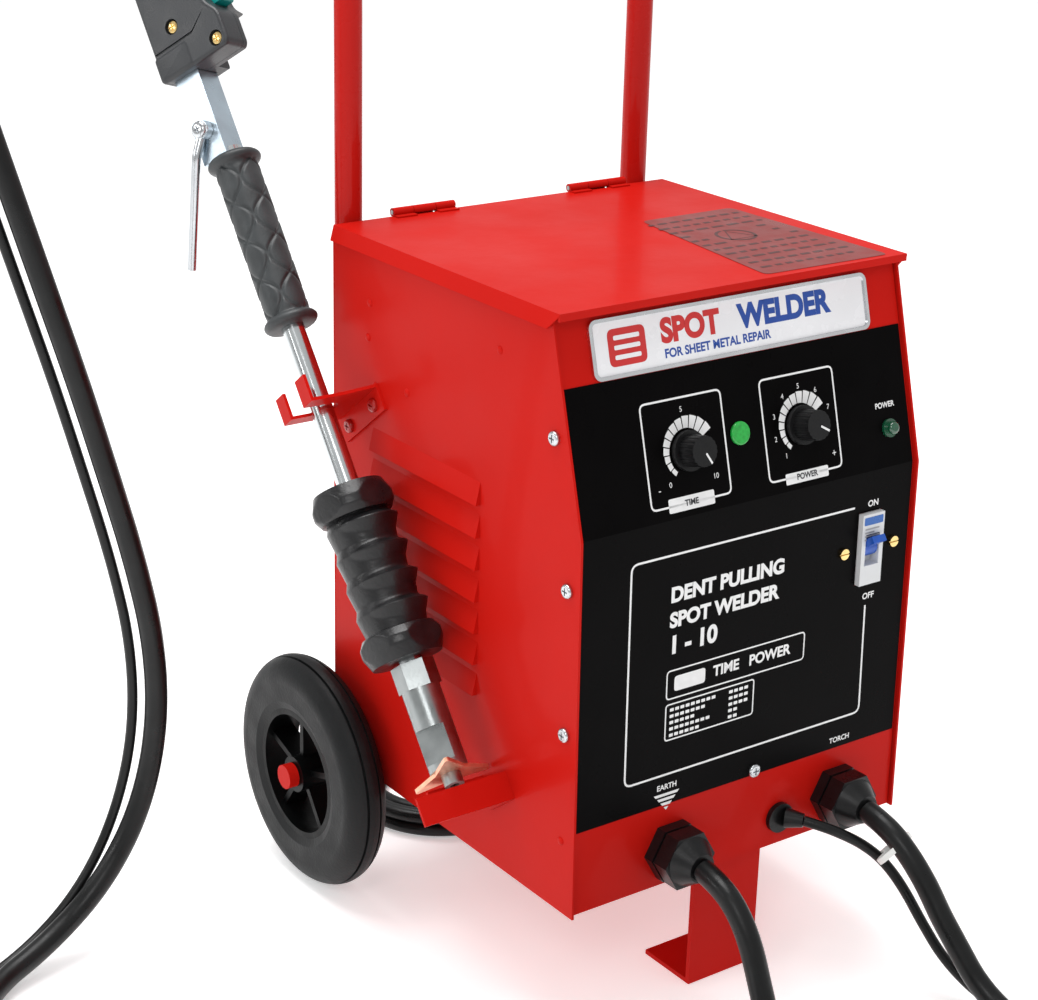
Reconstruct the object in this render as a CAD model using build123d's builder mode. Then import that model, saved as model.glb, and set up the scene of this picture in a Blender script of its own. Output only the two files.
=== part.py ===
from build123d import *

import os
from math import cos, pi, radians, sin, tan

# A spot welder for dent pulling, on a two-wheel trolley, with its welding gun parked on the left side.
# Millimetres. +X is to the right of someone facing the front panel, +Y to the back, +Z up, floor at z = 0.
# The origin is the middle of the front foot's sole.

os.makedirs("parts", exist_ok=True)

# ---- cabinet ----
half_w = 127.0
front_y = -32.0
back_y = 227.0
base_z = 84.0
lid_top = 436.0
sheet = 1.5
fit_gap = 0.3
kink_z = 314.0
kink_back = 4.0
lower_slope = kink_back / (kink_z - base_z)
brow_slope = 0.272
side_top = lid_top - sheet - fit_gap
recess = 2.5
panel_half_w = half_w - sheet - fit_gap
tray_h = 18.0
tray_front = front_y + 5.0
tray_back = back_y - 3.5

# ---- louvres on the side panels ----
louvre_count = 7
louvre_pitch = 19.9
louvre_first_z = 320.0
louvre_mid_y = 124.0
louvre_len = 114.0
louvre_drop = 14.0
louvre_out = 3.2

# ---- running gear ----
axle_r = 6.0
axle_y = 221.0
wheel_r = 77.0
axle_z = wheel_r
wheel_x = 148.0
tyre_half_w = 14.5
rim_r = 43.5
hub_r = 12.0
hub_half_len = 14.0
spoke_count = 5
running_gap = 0.05
cap_len = 7.0
tube_r = 8.5
tube_x = 110.5
tube_y = back_y + tube_r + 0.5
handle_top = 880.0
handle_bottom = 98.0
handle_bend = 55.0

# ---- front foot ----
foot_half_w = 26.0
foot_half_d = 21.0
foot_sheet = 3.0

# ---- welding gun: axis, from the nose up and back ----
gun_x = -154.0
gun_lean = 38.0
gun_y = 54.9
gun_z = 150.7
gun_roll = 26.0
up = Vector(0, sin(radians(gun_lean)), cos(radians(gun_lean)))
ahead = Vector(0, -cos(radians(gun_lean)), sin(radians(gun_lean)))
gun = Plane(origin=(gun_x, gun_y, gun_z), x_dir=ahead, z_dir=up)
to_panel = -half_w - gun_x
shaft_r = 7.0
nose_r = 11.7
tip_s = -1.0
tip_lean = 13.0
tip_turn = -29.4
nose_flat_turn = -54.5
nose_flat = 7.0
nut_low = 50.0
nut_high = 66.0
nut_af = 23.0
hammer_low = 68.0
hammer_high = 177.0
hammer_r = 25.0
hammer_shift = (2.0, -3.0)
grip_low = 284.5
grip_high = 399.0
grip_r = 13.5
grip_flange_r = 17.0
bar_side = 19.0
bar_shift = -6.0
bar_high = 478.0
shell_low = 458.0
shell_high = 622.0
shell_half = 16.0
trigger_low = 490.0
trigger_len = 44.0
rim_top = -12.0
star_r = 29.0
star_t = 2.5

# ---- brackets for the gun ----
bracket_t = 2.0
fork_s = 229.0
fork_half = 27.0
tine_end = 18.0
back_tine = -18.0
front_tine = 23.0
slot_x = 1.8
slot_r = 9.2
rest_half = 14.0
rest_end = 35.0
rest_low = -29.0
rest_back_end = 12.0
rest_back_top = -8.0

# ---- front controls ----
knob_r = 11.5
knob_h = 15.0
knob_z = 349.0
left_knob_x = -46.0
right_knob_x = 39.0
breaker_x = 91.2
breaker_z = 265.6
breaker_w = 17.5
breaker_nose_h = 45.0
breaker_body_h = 80.0
breaker_depth = 60.0
lens_x = -7.0
lens_z = 352.0
lamp_x = 107.4
lamp_z = 336.0
gland_z = 107.0
ground_x = -54.0
torch_x = 76.0
gland_af = 33.0
gland_len = 30.0
boot_x = 33.0
boot_z = 103.0
mains_x = 62.0
mains_z = 118.0

# ---- cords ----
weld_d = 14.0
control_d = 6.5
mains_d = 9.0
ground_coil_at = Vector(-140, -212, 0)
ground_coil_r = 75.0
mains_coil_at = Vector(-18, 265, 0)
mains_coil_r = 50.0


def save(part, name):
    part.label = name
    export_step(part, f"parts/{name}.step")


def face_plane(x, z):
    """The plane on the front panel's outer face at a height z, its normal pointing out of the cabinet."""
    if z < kink_z:
        y = front_y + recess + lower_slope * (z - base_z)
        return Plane(origin=(x, y, z), x_dir=(1, 0, 0), z_dir=(0, -1, lower_slope))
    y = front_y + kink_back + recess + brow_slope * (z - kink_z)
    return Plane(origin=(x, y, z), x_dir=(1, 0, 0), z_dir=(0, -1, brow_slope))


def front_y_at(z, forward=0.0):
    slope = lower_slope * (z - base_z) if z < kink_z else kink_back + brow_slope * (z - kink_z)
    return front_y + slope - forward


def rolled(s):
    """The gun's cross-section at a distance s up its axis, turned about the axis as the gun lies."""
    here = gun.offset(s)
    x_dir = here.x_dir * cos(radians(gun_roll)) + here.y_dir * sin(radians(gun_roll))
    return Plane(origin=here.origin, x_dir=x_dir, z_dir=here.z_dir)


# =============================== cabinet ===============================

with BuildPart() as base_tray:
    with BuildSketch(Plane.XY.offset(base_z)):
        with Locations((0, (tray_front + tray_back) / 2)):
            Rectangle(2 * panel_half_w, tray_back - tray_front)
    extrude(amount=tray_h)
    with BuildSketch(Plane.XY.offset(base_z + sheet)):
        with Locations((0, (tray_front + tray_back - 2 * sheet) / 2)):
            Rectangle(2 * (panel_half_w - sheet), tray_back - tray_front)
    extrude(amount=tray_h, mode=Mode.SUBTRACT)
    for ear_x in (-104.0, 101.0):
        with BuildSketch(Plane.YZ.offset(ear_x)):
            with Locations((axle_y, axle_z)):
                Rectangle(30, 2 * (base_z - axle_z))
            with Locations((axle_y, axle_z)):
                Circle(axle_r + running_gap, mode=Mode.SUBTRACT)
        extrude(amount=3)


def kinked_sheet(low_z, high_z, half_width, inner, outer):
    """A sheet bent at the kink line, between two distances forward of the side panels' front edges."""
    with BuildPart() as bent:
        with BuildSketch(Plane.YZ.offset(-half_width)):
            with BuildLine():
                Polyline(
                    (front_y_at(low_z, outer), low_z),
                    (front_y_at(kink_z, outer), kink_z),
                    (front_y_at(high_z, outer), high_z),
                    (front_y_at(high_z, inner), high_z),
                    (front_y_at(kink_z, inner), kink_z),
                    (front_y_at(low_z, inner), low_z),
                    close=True,
                )
            make_face()
        extrude(amount=2 * half_width)
    return bent.part


def panel_hole(x, z, radius):
    """A round cutter through the front panel and its overlay."""
    with BuildPart() as cutter:
        with BuildSketch(face_plane(x, z).offset(6)):
            Circle(radius)
        extrude(amount=-16)
    return cutter.part


def breaker_window():
    with BuildPart() as cutter:
        with BuildSketch(face_plane(breaker_x, breaker_z).offset(6)):
            Rectangle(breaker_w + 1, breaker_nose_h + 1)
        extrude(amount=-16)
    return cutter.part


control_holes = [
    panel_hole(left_knob_x, knob_z, 4.0),
    panel_hole(right_knob_x, knob_z, 4.0),
    panel_hole(lens_x, lens_z, 5.2),
    panel_hole(lamp_x, lamp_z, 4.2),
    breaker_window(),
]
cable_holes = [
    panel_hole(ground_x, gland_z, 14.2),
    panel_hole(torch_x, gland_z, 14.2),
    panel_hole(boot_x - 2, boot_z, 5.2),
]

with BuildPart() as front_panel:
    add(kinked_sheet(base_z + 1, 431.0, panel_half_w - 0.5, -recess - 1.6, -recess))
    for hole in control_holes + cable_holes:
        add(hole, mode=Mode.SUBTRACT)
save(front_panel.part, "front_panel")

with BuildPart() as panel_overlay:
    add(kinked_sheet(137.5, 394.0, panel_half_w - 1.5, -recess, 0.5 - recess))
    for hole in control_holes:
        add(hole, mode=Mode.SUBTRACT)
save(panel_overlay.part, "panel_overlay")

with BuildPart() as name_plate:
    with BuildSketch(face_plane(-2, 410.6)):
        RectangleRounded(204, 33.4, 5)
    extrude(amount=2.2)
    with BuildSketch(face_plane(-2, 410.6).offset(1.2)):
        RectangleRounded(200, 29.4, 3.4)
    extrude(amount=1.2, mode=Mode.SUBTRACT)
save(name_plate.part, "name_plate")

with BuildPart() as left_side_panel:
    with BuildSketch(Plane.YZ.offset(-half_w)):
        with BuildLine():
            Polyline(
                (front_y, base_z),
                (front_y + kink_back, kink_z),
                (front_y_at(side_top), side_top),
                (back_y - sheet - fit_gap, side_top),
                (back_y - sheet - fit_gap, base_z),
                close=True,
            )
        make_face()
    extrude(amount=sheet)
    for i in range(louvre_count):
        top_z = louvre_first_z - i * louvre_pitch
        hood = Plane(origin=(-half_w, louvre_mid_y, top_z), x_dir=(-1, 0, 0), z_dir=(0, 1, 0))
        with BuildSketch(hood):
            Polygon((0, 0), (louvre_out, -louvre_drop), (0, -louvre_drop), align=None)
        extrude(amount=louvre_len / 2, both=True)
        with BuildSketch(hood):
            Polygon(
                (-sheet - 1, -3),
                (0.1, -3),
                (louvre_out - 1.2, -louvre_drop - 0.1),
                (-sheet - 1, -louvre_drop - 0.1),
                align=None,
            )
        extrude(amount=louvre_len / 2 - 1.5, both=True, mode=Mode.SUBTRACT)
save(left_side_panel.part, "left_side_panel")

with BuildPart() as right_side_panel:
    mirror(left_side_panel.part, about=Plane.YZ)
save(right_side_panel.part, "right_side_panel")

with BuildPart() as back_panel:
    with BuildSketch(Plane.XZ.offset(-back_y)):
        with Locations((0, (base_z + side_top) / 2)):
            Rectangle(2 * half_w, side_top - base_z)
        with Locations((mains_x, mains_z)):
            Circle(6.2, mode=Mode.SUBTRACT)
        with GridLocations(46, 14, 4, 5):
            with Locations((0, 300)):
                SlotOverall(36, 5, mode=Mode.SUBTRACT)
    extrude(amount=sheet)
save(back_panel.part, "back_panel")

lid_front = -3.0
lid_back = 225.6
lid_half = 127.4
hinge_y = 226.2
hinge_z = lid_top + 2.4
knuckle_r = 2.6
pin_r = 1.4
flange_drop = 9.5
flange_out = 2.5
hinge_x = (-62.5, 72.5)
knuckle_half = 23.0

with BuildPart() as lid:
    with BuildSketch(Plane.XZ.offset(-lid_front)):
        with BuildLine():
            Polyline(
                (-lid_half, lid_top),
                (lid_half, lid_top),
                (lid_half + flange_out, lid_top - flange_drop),
                (lid_half + flange_out - sheet, lid_top - flange_drop),
                (lid_half + 0.1, lid_top - sheet),
                (-lid_half - 0.1, lid_top - sheet),
                (-lid_half - flange_out + sheet, lid_top - flange_drop),
                (-lid_half - flange_out, lid_top - flange_drop),
                close=True,
            )
        make_face()
    extrude(amount=-(lid_back - lid_front))
    with BuildSketch(Plane.YZ.offset(-lid_half - flange_out - 1)):
        Polygon(
            (lid_front - 1, lid_top - sheet),
            (lid_front + 0.5, lid_top - sheet),
            (lid_front + flange_drop, lid_top - flange_drop - 1),
            (lid_front - 1, lid_top - flange_drop - 1),
            align=None,
        )
    extrude(amount=2 * (lid_half + flange_out + 1), mode=Mode.SUBTRACT)
    with BuildSketch(Plane.XZ.offset(-lid_front)):
        with Locations((0, lid_top - 2.2)):
            Rectangle(2 * lid_half, 4.4)
    extrude(amount=-sheet)
    for x in hinge_x:
        for side in (-1, 1):
            with BuildSketch(Plane.YZ.offset(x + side * 15.5)):
                with Locations((hinge_y, hinge_z)):
                    Circle(knuckle_r)
                with Locations((hinge_y - 3.4, lid_top + 0.1)):
                    Rectangle(7, 1.8)
                with Locations((hinge_y, hinge_z)):
                    Circle(pin_r + running_gap, mode=Mode.SUBTRACT)
            extrude(amount=7.2, both=True)
        with Locations((x, lid_back, lid_top)):
            Box(17, 5, 5, mode=Mode.SUBTRACT)
save(lid.part, "lid")

with BuildPart() as body_hinge_leaves:
    for x in hinge_x:
        with BuildSketch(Plane.YZ.offset(x)):
            with Locations((hinge_y, hinge_z)):
                Circle(knuckle_r)
            with Locations((back_y + 0.65, hinge_z - 11)):
                Rectangle(1.2, 22)
            with Locations((hinge_y, hinge_z)):
                Circle(pin_r, mode=Mode.SUBTRACT)
        extrude(amount=8, both=True)
save(body_hinge_leaves.part, "body_hinge_leaves")

with BuildPart() as hinge_pins:
    for x in hinge_x:
        with BuildSketch(Plane.YZ.offset(x)):
            with Locations((hinge_y, hinge_z)):
                Circle(pin_r)
        extrude(amount=knuckle_half, both=True)
save(hinge_pins.part, "hinge_pins")


def pan_screw(seat, length=8.0):
    """An M5 pan-head screw, its head standing on a plane and its thread running back through it."""
    with BuildPart() as screw:
        with BuildSketch(seat):
            Circle(4.3)
        extrude(amount=2.6)
        fillet(screw.faces().sort_by(Axis(seat.origin, seat.z_dir))[-1].edges(), 1.6)
        with BuildSketch(seat):
            Circle(2.4)
        extrude(amount=-length)
        with BuildSketch(seat.offset(2.6)):
            Rectangle(4.6, 0.9)
            Rectangle(0.9, 4.6)
        extrude(amount=-1.4, mode=Mode.SUBTRACT)
    return screw.part


def left_seat(y, z):
    return Plane(origin=(-half_w, y, z), x_dir=(0, -1, 0), z_dir=(-1, 0, 0))


def right_seat(y, z):
    return Plane(origin=(half_w, y, z), x_dir=(0, 1, 0), z_dir=(1, 0, 0))


side_screws = [(-2.0, 366.8), (-18.0, 283.3), (-19.5, 196.7)]
back_screws = [(-80.0, 398.0), (80.0, 398.0), (-80.0, 100.0), (80.0, 100.0)]
fork_screws = [gun.from_local_coords(p) for p in ((-17, 0, 221), (17, 0, 221))]
rest_screws = [gun.from_local_coords(p) for p in ((-6.5, 0, -20.5), (6.5, 0, -20.5))]
bracket_seats = [left_seat(p.Y, p.Z).offset(bracket_t) for p in fork_screws + rest_screws]
handle_seats = [
    Plane(origin=(side * tube_x, tube_y + tube_r, z), x_dir=(1, 0, 0), z_dir=(0, 1, 0))
    for side in (-1, 1)
    for z in (412.0, 150.0)
]
back_seats = [Plane(origin=(x, back_y, z), x_dir=(-1, 0, 0), z_dir=(0, 1, 0)) for x, z in back_screws]
screw_seats = (
    [left_seat(y, z) for y, z in side_screws]
    + [right_seat(y, z) for y, z in side_screws]
    + bracket_seats
    + back_seats
    + [face_plane(8.4, 140.7).offset(0.5)]
)


def holes_for(seats, depth=10.0):
    """Clearance for the threads of the screws that stand on some planes."""
    cutters = []
    for seat in seats:
        with BuildPart() as cutter:
            with BuildSketch(seat.offset(1)):
                Circle(2.5)
            extrude(amount=-depth - 1)
        cutters.append(cutter.part)
    return cutters


# =============================== trolley ===============================

with BuildPart() as push_handle:
    with BuildLine() as bend:
        FilletPolyline(
            (-tube_x, tube_y, handle_bottom),
            (-tube_x, tube_y, handle_top),
            (tube_x, tube_y, handle_top),
            (tube_x, tube_y, handle_bottom),
            radius=handle_bend,
        )
    with BuildSketch(Plane(origin=(-tube_x, tube_y, handle_bottom), z_dir=(0, 0, 1))):
        Circle(tube_r)
        Circle(tube_r - 1.5, mode=Mode.SUBTRACT)
    sweep(path=bend.wires()[0])
    for cutter in holes_for(handle_seats, 30):
        add(cutter, mode=Mode.SUBTRACT)
save(push_handle.part, "push_handle")

with BuildPart() as handle_bolts:
    for seat in handle_seats:
        with BuildSketch(seat):
            Circle(4.3)
        extrude(amount=2.6)
        with BuildSketch(seat):
            Circle(2.45)
        extrude(amount=-2 * tube_r - 8)
save(handle_bolts.part, "handle_bolts")

with BuildPart() as foot_bracket:
    with BuildSketch(Plane.XY):
        Rectangle(2 * foot_half_w, 2 * foot_half_d)
    extrude(amount=foot_sheet)
    with BuildSketch(Plane.XY):
        with Locations((0, -foot_half_d + foot_sheet / 2)):
            Rectangle(2 * foot_half_w, foot_sheet)
    extrude(amount=base_z)
    with BuildSketch(Plane.XY.offset(base_z - foot_sheet)):
        Rectangle(2 * foot_half_w, 2 * foot_half_d)
    extrude(amount=foot_sheet)
save(foot_bracket.part, "foot_bracket")

with BuildPart() as axle:
    with BuildSketch(Plane.YZ.offset(-wheel_x - hub_half_len - 5)):
        with Locations((axle_y, axle_z)):
            Circle(axle_r)
    extrude(amount=2 * (wheel_x + hub_half_len + 5))
save(axle.part, "axle")


def wheel_rim(x):
    """A moulded wheel centre: hub, thin spokes with a web, and the band that carries the tyre."""
    with BuildPart() as rim:
        with BuildSketch(Plane.YZ.offset(x)):
            with Locations((axle_y, axle_z)):
                Circle(rim_r)
                Circle(rim_r - 4, mode=Mode.SUBTRACT)
        extrude(amount=tyre_half_w - 2, both=True)
        with BuildSketch(Plane.YZ.offset(x)):
            with Locations((axle_y, axle_z)):
                Circle(hub_r)
        extrude(amount=hub_half_len, both=True)
        with BuildSketch(Plane.YZ.offset(x)):
            with Locations((axle_y, axle_z)):
                with PolarLocations(rim_r / 2, spoke_count, start_angle=18):
                    Rectangle(rim_r - 4, 4)
        extrude(amount=8, both=True)
        with BuildSketch(Plane.YZ.offset(x)):
            with Locations((axle_y, axle_z)):
                Circle(axle_r + running_gap)
        extrude(amount=hub_half_len + 1, both=True, mode=Mode.SUBTRACT)
    return rim.part


def wheel_tyre(x):
    """A solid rubber tyre with rounded shoulders and two grooves round its tread."""
    with BuildPart() as tyre:
        with BuildSketch(Plane(origin=(x, axle_y, axle_z), x_dir=(1, 0, 0), z_dir=(0, 1, 0))):
            with BuildLine():
                Polyline((-tyre_half_w + 2, -rim_r), (-tyre_half_w, -rim_r - 5), (-tyre_half_w, -60))
                ThreePointArc((-tyre_half_w, -60), (-10.6, -72), (0, -wheel_r))
                ThreePointArc((0, -wheel_r), (10.6, -72), (tyre_half_w, -60))
                Polyline((tyre_half_w, -60), (tyre_half_w, -rim_r - 5), (tyre_half_w - 2, -rim_r))
                Line((tyre_half_w - 2, -rim_r), (-tyre_half_w + 2, -rim_r))
            make_face()
            with Locations((-4.5, -wheel_r), (4.5, -wheel_r)):
                Rectangle(1.6, 5, mode=Mode.SUBTRACT)
        revolve(axis=Axis((x, axle_y, axle_z), (1, 0, 0)))
    return tyre.part


for wheel, x in (("left", -wheel_x), ("right", wheel_x)):
    save(wheel_rim(x), f"{wheel}_rim")
    save(wheel_tyre(x), f"{wheel}_tyre")

with BuildPart() as axle_caps:
    for side in (-1, 1):
        inner = Plane(
            origin=(side * (wheel_x + hub_half_len + 0.5), axle_y, axle_z),
            x_dir=(0, 1, 0),
            z_dir=(side, 0, 0),
        )
        with BuildSketch(inner):
            Circle(8.0)
        extrude(amount=cap_len)
        with BuildSketch(inner):
            Circle(axle_r)
        extrude(amount=4.5, mode=Mode.SUBTRACT)
save(axle_caps.part, "axle_caps")

# =============================== gun brackets ===============================

with BuildPart() as gun_fork:
    with BuildSketch(gun.offset(fork_s)):
        with BuildLine():
            Polyline(
                (-fork_half, to_panel),
                (fork_half, to_panel),
                (front_tine, 6),
                (front_tine, -tine_end),
                (slot_x + slot_r, -tine_end),
                (slot_x + slot_r, 0),
            )
            ThreePointArc((slot_x + slot_r, 0), (slot_x, slot_r), (slot_x - slot_r, 0))
            Polyline(
                (slot_x - slot_r, 0),
                (slot_x - slot_r, -tine_end),
                (back_tine, -tine_end),
                (back_tine, 6),
                (-fork_half, to_panel),
            )
        make_face()
    extrude(amount=bracket_t)
    for low, high in ((back_tine, slot_x - slot_r), (slot_x + slot_r, front_tine)):
        with BuildSketch(gun.offset(fork_s)):
            with Locations(((low + high) / 2, -tine_end + bracket_t / 2)):
                Rectangle(high - low, bracket_t)
        extrude(amount=17)
    with BuildSketch(gun.offset(fork_s + bracket_t)):
        with Locations((0, to_panel - bracket_t / 2)):
            Rectangle(2 * fork_half, bracket_t)
    extrude(amount=-17)
    for cutter in holes_for(bracket_seats[:2]):
        add(cutter, mode=Mode.SUBTRACT)
save(gun_fork.part, "gun_fork")

with BuildPart() as gun_rest:
    with BuildSketch(gun.offset(rest_low)):
        with Locations((0, to_panel - bracket_t / 2)):
            Rectangle(2 * rest_half, bracket_t)
        with Locations((rest_half - bracket_t / 2, (to_panel - rest_end) / 2)):
            Rectangle(bracket_t, to_panel + rest_end)
    extrude(amount=rim_top - rest_low)
    with BuildSketch(gun.offset(rest_low + 4)):
        with Locations((bracket_t / 2 - rest_half, (to_panel - rest_back_end) / 2)):
            Rectangle(bracket_t, to_panel + rest_back_end)
    extrude(amount=rest_back_top - rest_low - 4)
    for cutter in holes_for(bracket_seats[2:]):
        add(cutter, mode=Mode.SUBTRACT)
save(gun_rest.part, "gun_rest")

with BuildPart() as case_screws:
    for seat in screw_seats:
        add(pan_screw(seat))
save(case_screws.part, "case_screws")


def drilled(part, seats, depth=10.0):
    with BuildPart() as result:
        add(part)
        for cutter in holes_for(seats, depth):
            add(cutter, mode=Mode.SUBTRACT)
    return result.part


save(drilled(left_side_panel.part, screw_seats[:3] + bracket_seats), "left_side_panel")
save(drilled(right_side_panel.part, screw_seats[3:6]), "right_side_panel")
save(drilled(back_panel.part, back_seats + handle_seats, 30), "back_panel")
save(drilled(base_tray.part, back_seats), "base_tray")
save(drilled(front_panel.part, screw_seats[-1:]), "front_panel")
save(drilled(panel_overlay.part, screw_seats[-1:]), "panel_overlay")

# =============================== transformer and electronics ===============================

core_y = 130.0
core_w = 132.0
core_depth = 62.0
core_h = 110.0
core_z = base_z + sheet + 10 + core_h / 2
window_w = 24.0
window_h = 72.0
leg_w = 36.0

with BuildPart() as transformer_core:
    with BuildSketch(Plane.XZ.offset(-core_y)):
        with Locations((0, core_z)):
            Rectangle(core_w, core_h)
        with Locations((-(leg_w + window_w) / 2, core_z), ((leg_w + window_w) / 2, core_z)):
            Rectangle(window_w, window_h, mode=Mode.SUBTRACT)
    extrude(amount=core_depth / 2, both=True)
save(transformer_core.part, "transformer_core")


def winding(low_z, high_z, thickness):
    """A closed winding round the core's middle leg."""
    with BuildPart() as coil:
        with BuildSketch(Plane.XY.offset(low_z)):
            with Locations((0, core_y)):
                RectangleRounded(leg_w + 1 + 2 * thickness, core_depth + 1 + 2 * thickness, 6)
                Rectangle(leg_w + 1, core_depth + 1, mode=Mode.SUBTRACT)
        extrude(amount=high_z - low_z)
    return coil.part


save(winding(core_z - window_h / 2 + 1, core_z + 6, window_w - 2), "primary_coil")

with BuildPart() as secondary_coil:
    add(winding(core_z + 8, core_z + window_h / 2 - 1, window_w - 6))
    for x in (ground_x, torch_x):
        side = 1 if x > 0 else -1
        with BuildSketch(Plane.XY.offset(core_z + 14)):
            with Locations((side * 12, core_y - core_depth / 2 - window_w + 2)):
                Rectangle(16, 14)
            with Locations(((x + side * 4) / 2, 74)):
                Rectangle(abs(x - side * 4) + 16, 12)
            with Locations((x, 34)):
                Rectangle(16, 92)
        extrude(amount=4)
        with BuildSketch(Plane.XY.offset(gland_z - 8)):
            with Locations((x, -8)):
                Rectangle(16, 8)
        extrude(amount=core_z + 18 - gland_z + 8)
save(secondary_coil.part, "secondary_coil")

with BuildPart() as core_brackets:
    for side in (-1, 1):
        with BuildSketch(Plane.YZ.offset(side * (core_w / 2 + 1.5) - 1.5)):
            with Locations((core_y, core_z - 5)):
                Rectangle(core_depth, core_h + 10)
        extrude(amount=3)
        with BuildSketch(Plane.XY.offset(base_z + sheet)):
            with Locations((side * (core_w / 2 + 11.5), core_y)):
                Rectangle(20, core_depth)
        extrude(amount=3)
save(core_brackets.part, "core_brackets")

with BuildPart() as control_board:
    with BuildSketch(Plane.XY.offset(262)):
        with Locations((-10, 150)):
            Rectangle(150, 100)
    extrude(amount=1.6)
    with BuildSketch(Plane.XY.offset(263.6)):
        with Locations((-50, 130)):
            Rectangle(34, 40)
        with Locations((30, 170)):
            Rectangle(26, 30)
    extrude(amount=24)
    with BuildSketch(Plane.XY.offset(263.6)):
        with Locations((-5, 125), (5, 150), (-40, 180)):
            Circle(8)
    extrude(amount=20)
save(control_board.part, "control_board")

with BuildPart() as board_shelf:
    with BuildSketch(Plane.XY.offset(250)):
        with Locations((0, 150)):
            Rectangle(190, 110)
    extrude(amount=sheet)
    with BuildSketch(Plane.XY.offset(250)):
        with Locations((-80, 105), (60, 105), (-80, 195), (60, 195)):
            Circle(4)
    extrude(amount=12)
    for x in (-94.25, 94.25):
        with BuildSketch(Plane.YZ.offset(x - sheet / 2)):
            with Locations((150, (base_z + sheet + 250) / 2)):
                Rectangle(110, 250 - base_z - sheet)
            with Locations((150, 168)):
                Rectangle(80, 110, mode=Mode.SUBTRACT)
        extrude(amount=sheet)
save(board_shelf.part, "board_shelf")

# =============================== front controls ===============================

with BuildPart() as control_pots:
    for x in (left_knob_x, right_knob_x):
        with BuildSketch(face_plane(x, knob_z).offset(-2)):
            Circle(12)
        extrude(amount=-14)
        with BuildSketch(face_plane(x, knob_z).offset(-3)):
            Circle(3.7)
        extrude(amount=3.5)
        with BuildSketch(face_plane(x, knob_z).offset(-3)):
            Circle(3.0)
        extrude(amount=14)
save(control_pots.part, "control_pots")


def pointer_knob(x, pointer_angle):
    """A fluted pointer knob; the angle is its pointer's, counter-clockwise from straight up."""
    seat = face_plane(x, knob_z).offset(1.2)
    with BuildPart() as knob:
        with BuildSketch(seat):
            Circle(knob_r)
        extrude(amount=3)
        with BuildSketch(seat):
            Circle(knob_r - 2.2)
            with PolarLocations(knob_r - 1.6, 18):
                Circle(0.9, mode=Mode.SUBTRACT)
        extrude(amount=knob_h, taper=2)
        with BuildSketch(seat.offset(knob_h)):
            with PolarLocations(5.5, 1, start_angle=90 + pointer_angle):
                Rectangle(7, 1.4)
        extrude(amount=-1, mode=Mode.SUBTRACT)
        with BuildSketch(seat):
            Circle(3.0 + running_gap)
        extrude(amount=10.5, mode=Mode.SUBTRACT)
    return knob.part


save(pointer_knob(left_knob_x, -150), "left_knob")
save(pointer_knob(right_knob_x, -120), "right_knob")

with BuildPart() as green_lens:
    with BuildSketch(face_plane(lens_x, lens_z).offset(0.5)):
        Circle(6.8)
    extrude(amount=1.6)
    with BuildSketch(face_plane(lens_x, lens_z).offset(0.5)):
        Circle(5.0)
    extrude(amount=-12)
    fillet(green_lens.faces().sort_by(Axis.Y)[0].edges(), 0.9)
save(green_lens.part, "green_lens")

with BuildPart() as pilot_lamp:
    with BuildSketch(face_plane(lamp_x, lamp_z).offset(0.5)):
        Circle(5.6)
    extrude(amount=1.4)
    with BuildSketch(face_plane(lamp_x, lamp_z).offset(0.5)):
        Circle(4.0)
    extrude(amount=6)
    fillet(pilot_lamp.faces().sort_by(Axis.Y)[0].edges(), 2.4)
    with BuildSketch(face_plane(lamp_x, lamp_z).offset(0.5)):
        Circle(4.0)
    extrude(amount=-20)
save(pilot_lamp.part, "pilot_lamp")

drum_r = 6.2
drum_out = -3.0
lever_len = 15.0
lever_up = 35.0

with BuildPart() as breaker_body:
    with BuildSketch(face_plane(breaker_x, breaker_z).offset(-2.2)):
        Rectangle(breaker_w, breaker_body_h)
    extrude(amount=-breaker_depth)
    with BuildSketch(face_plane(breaker_x, breaker_z).offset(-2.2)):
        Rectangle(breaker_w, breaker_nose_h)
    extrude(amount=6.2)
    pivot = face_plane(breaker_x, breaker_z).offset(drum_out)
    with BuildSketch(Plane(origin=pivot.origin, x_dir=(0, 1, 0), z_dir=(1, 0, 0))):
        Circle(drum_r + 0.4)
        with Locations((-6, 0)):
            Rectangle(12, 20)
    extrude(amount=5.6, both=True, mode=Mode.SUBTRACT)
save(breaker_body.part, "breaker_body")

with BuildPart() as breaker_toggle:
    across = Plane(origin=pivot.origin, x_dir=(0, 1, 0), z_dir=(1, 0, 0))
    with BuildSketch(across):
        Circle(drum_r)
        with Locations(Location((0, 0), 180 - lever_up)):
            with Locations((lever_len / 2, 0)):
                Rectangle(lever_len, 4.2)
    extrude(amount=5.2, both=True)
save(breaker_toggle.part, "breaker_toggle")

with BuildPart() as breaker_screws:
    for x in (breaker_x - 20.2, breaker_x + 20.2):
        seat = face_plane(x, breaker_z).offset(0.5)
        with BuildSketch(seat):
            Circle(3.4)
        extrude(amount=1.8)
        with BuildSketch(seat.offset(1.8)):
            Rectangle(7, 0.9)
        extrude(amount=-0.8, mode=Mode.SUBTRACT)
save(breaker_screws.part, "breaker_screws")

# =============================== cable entries ===============================

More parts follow.
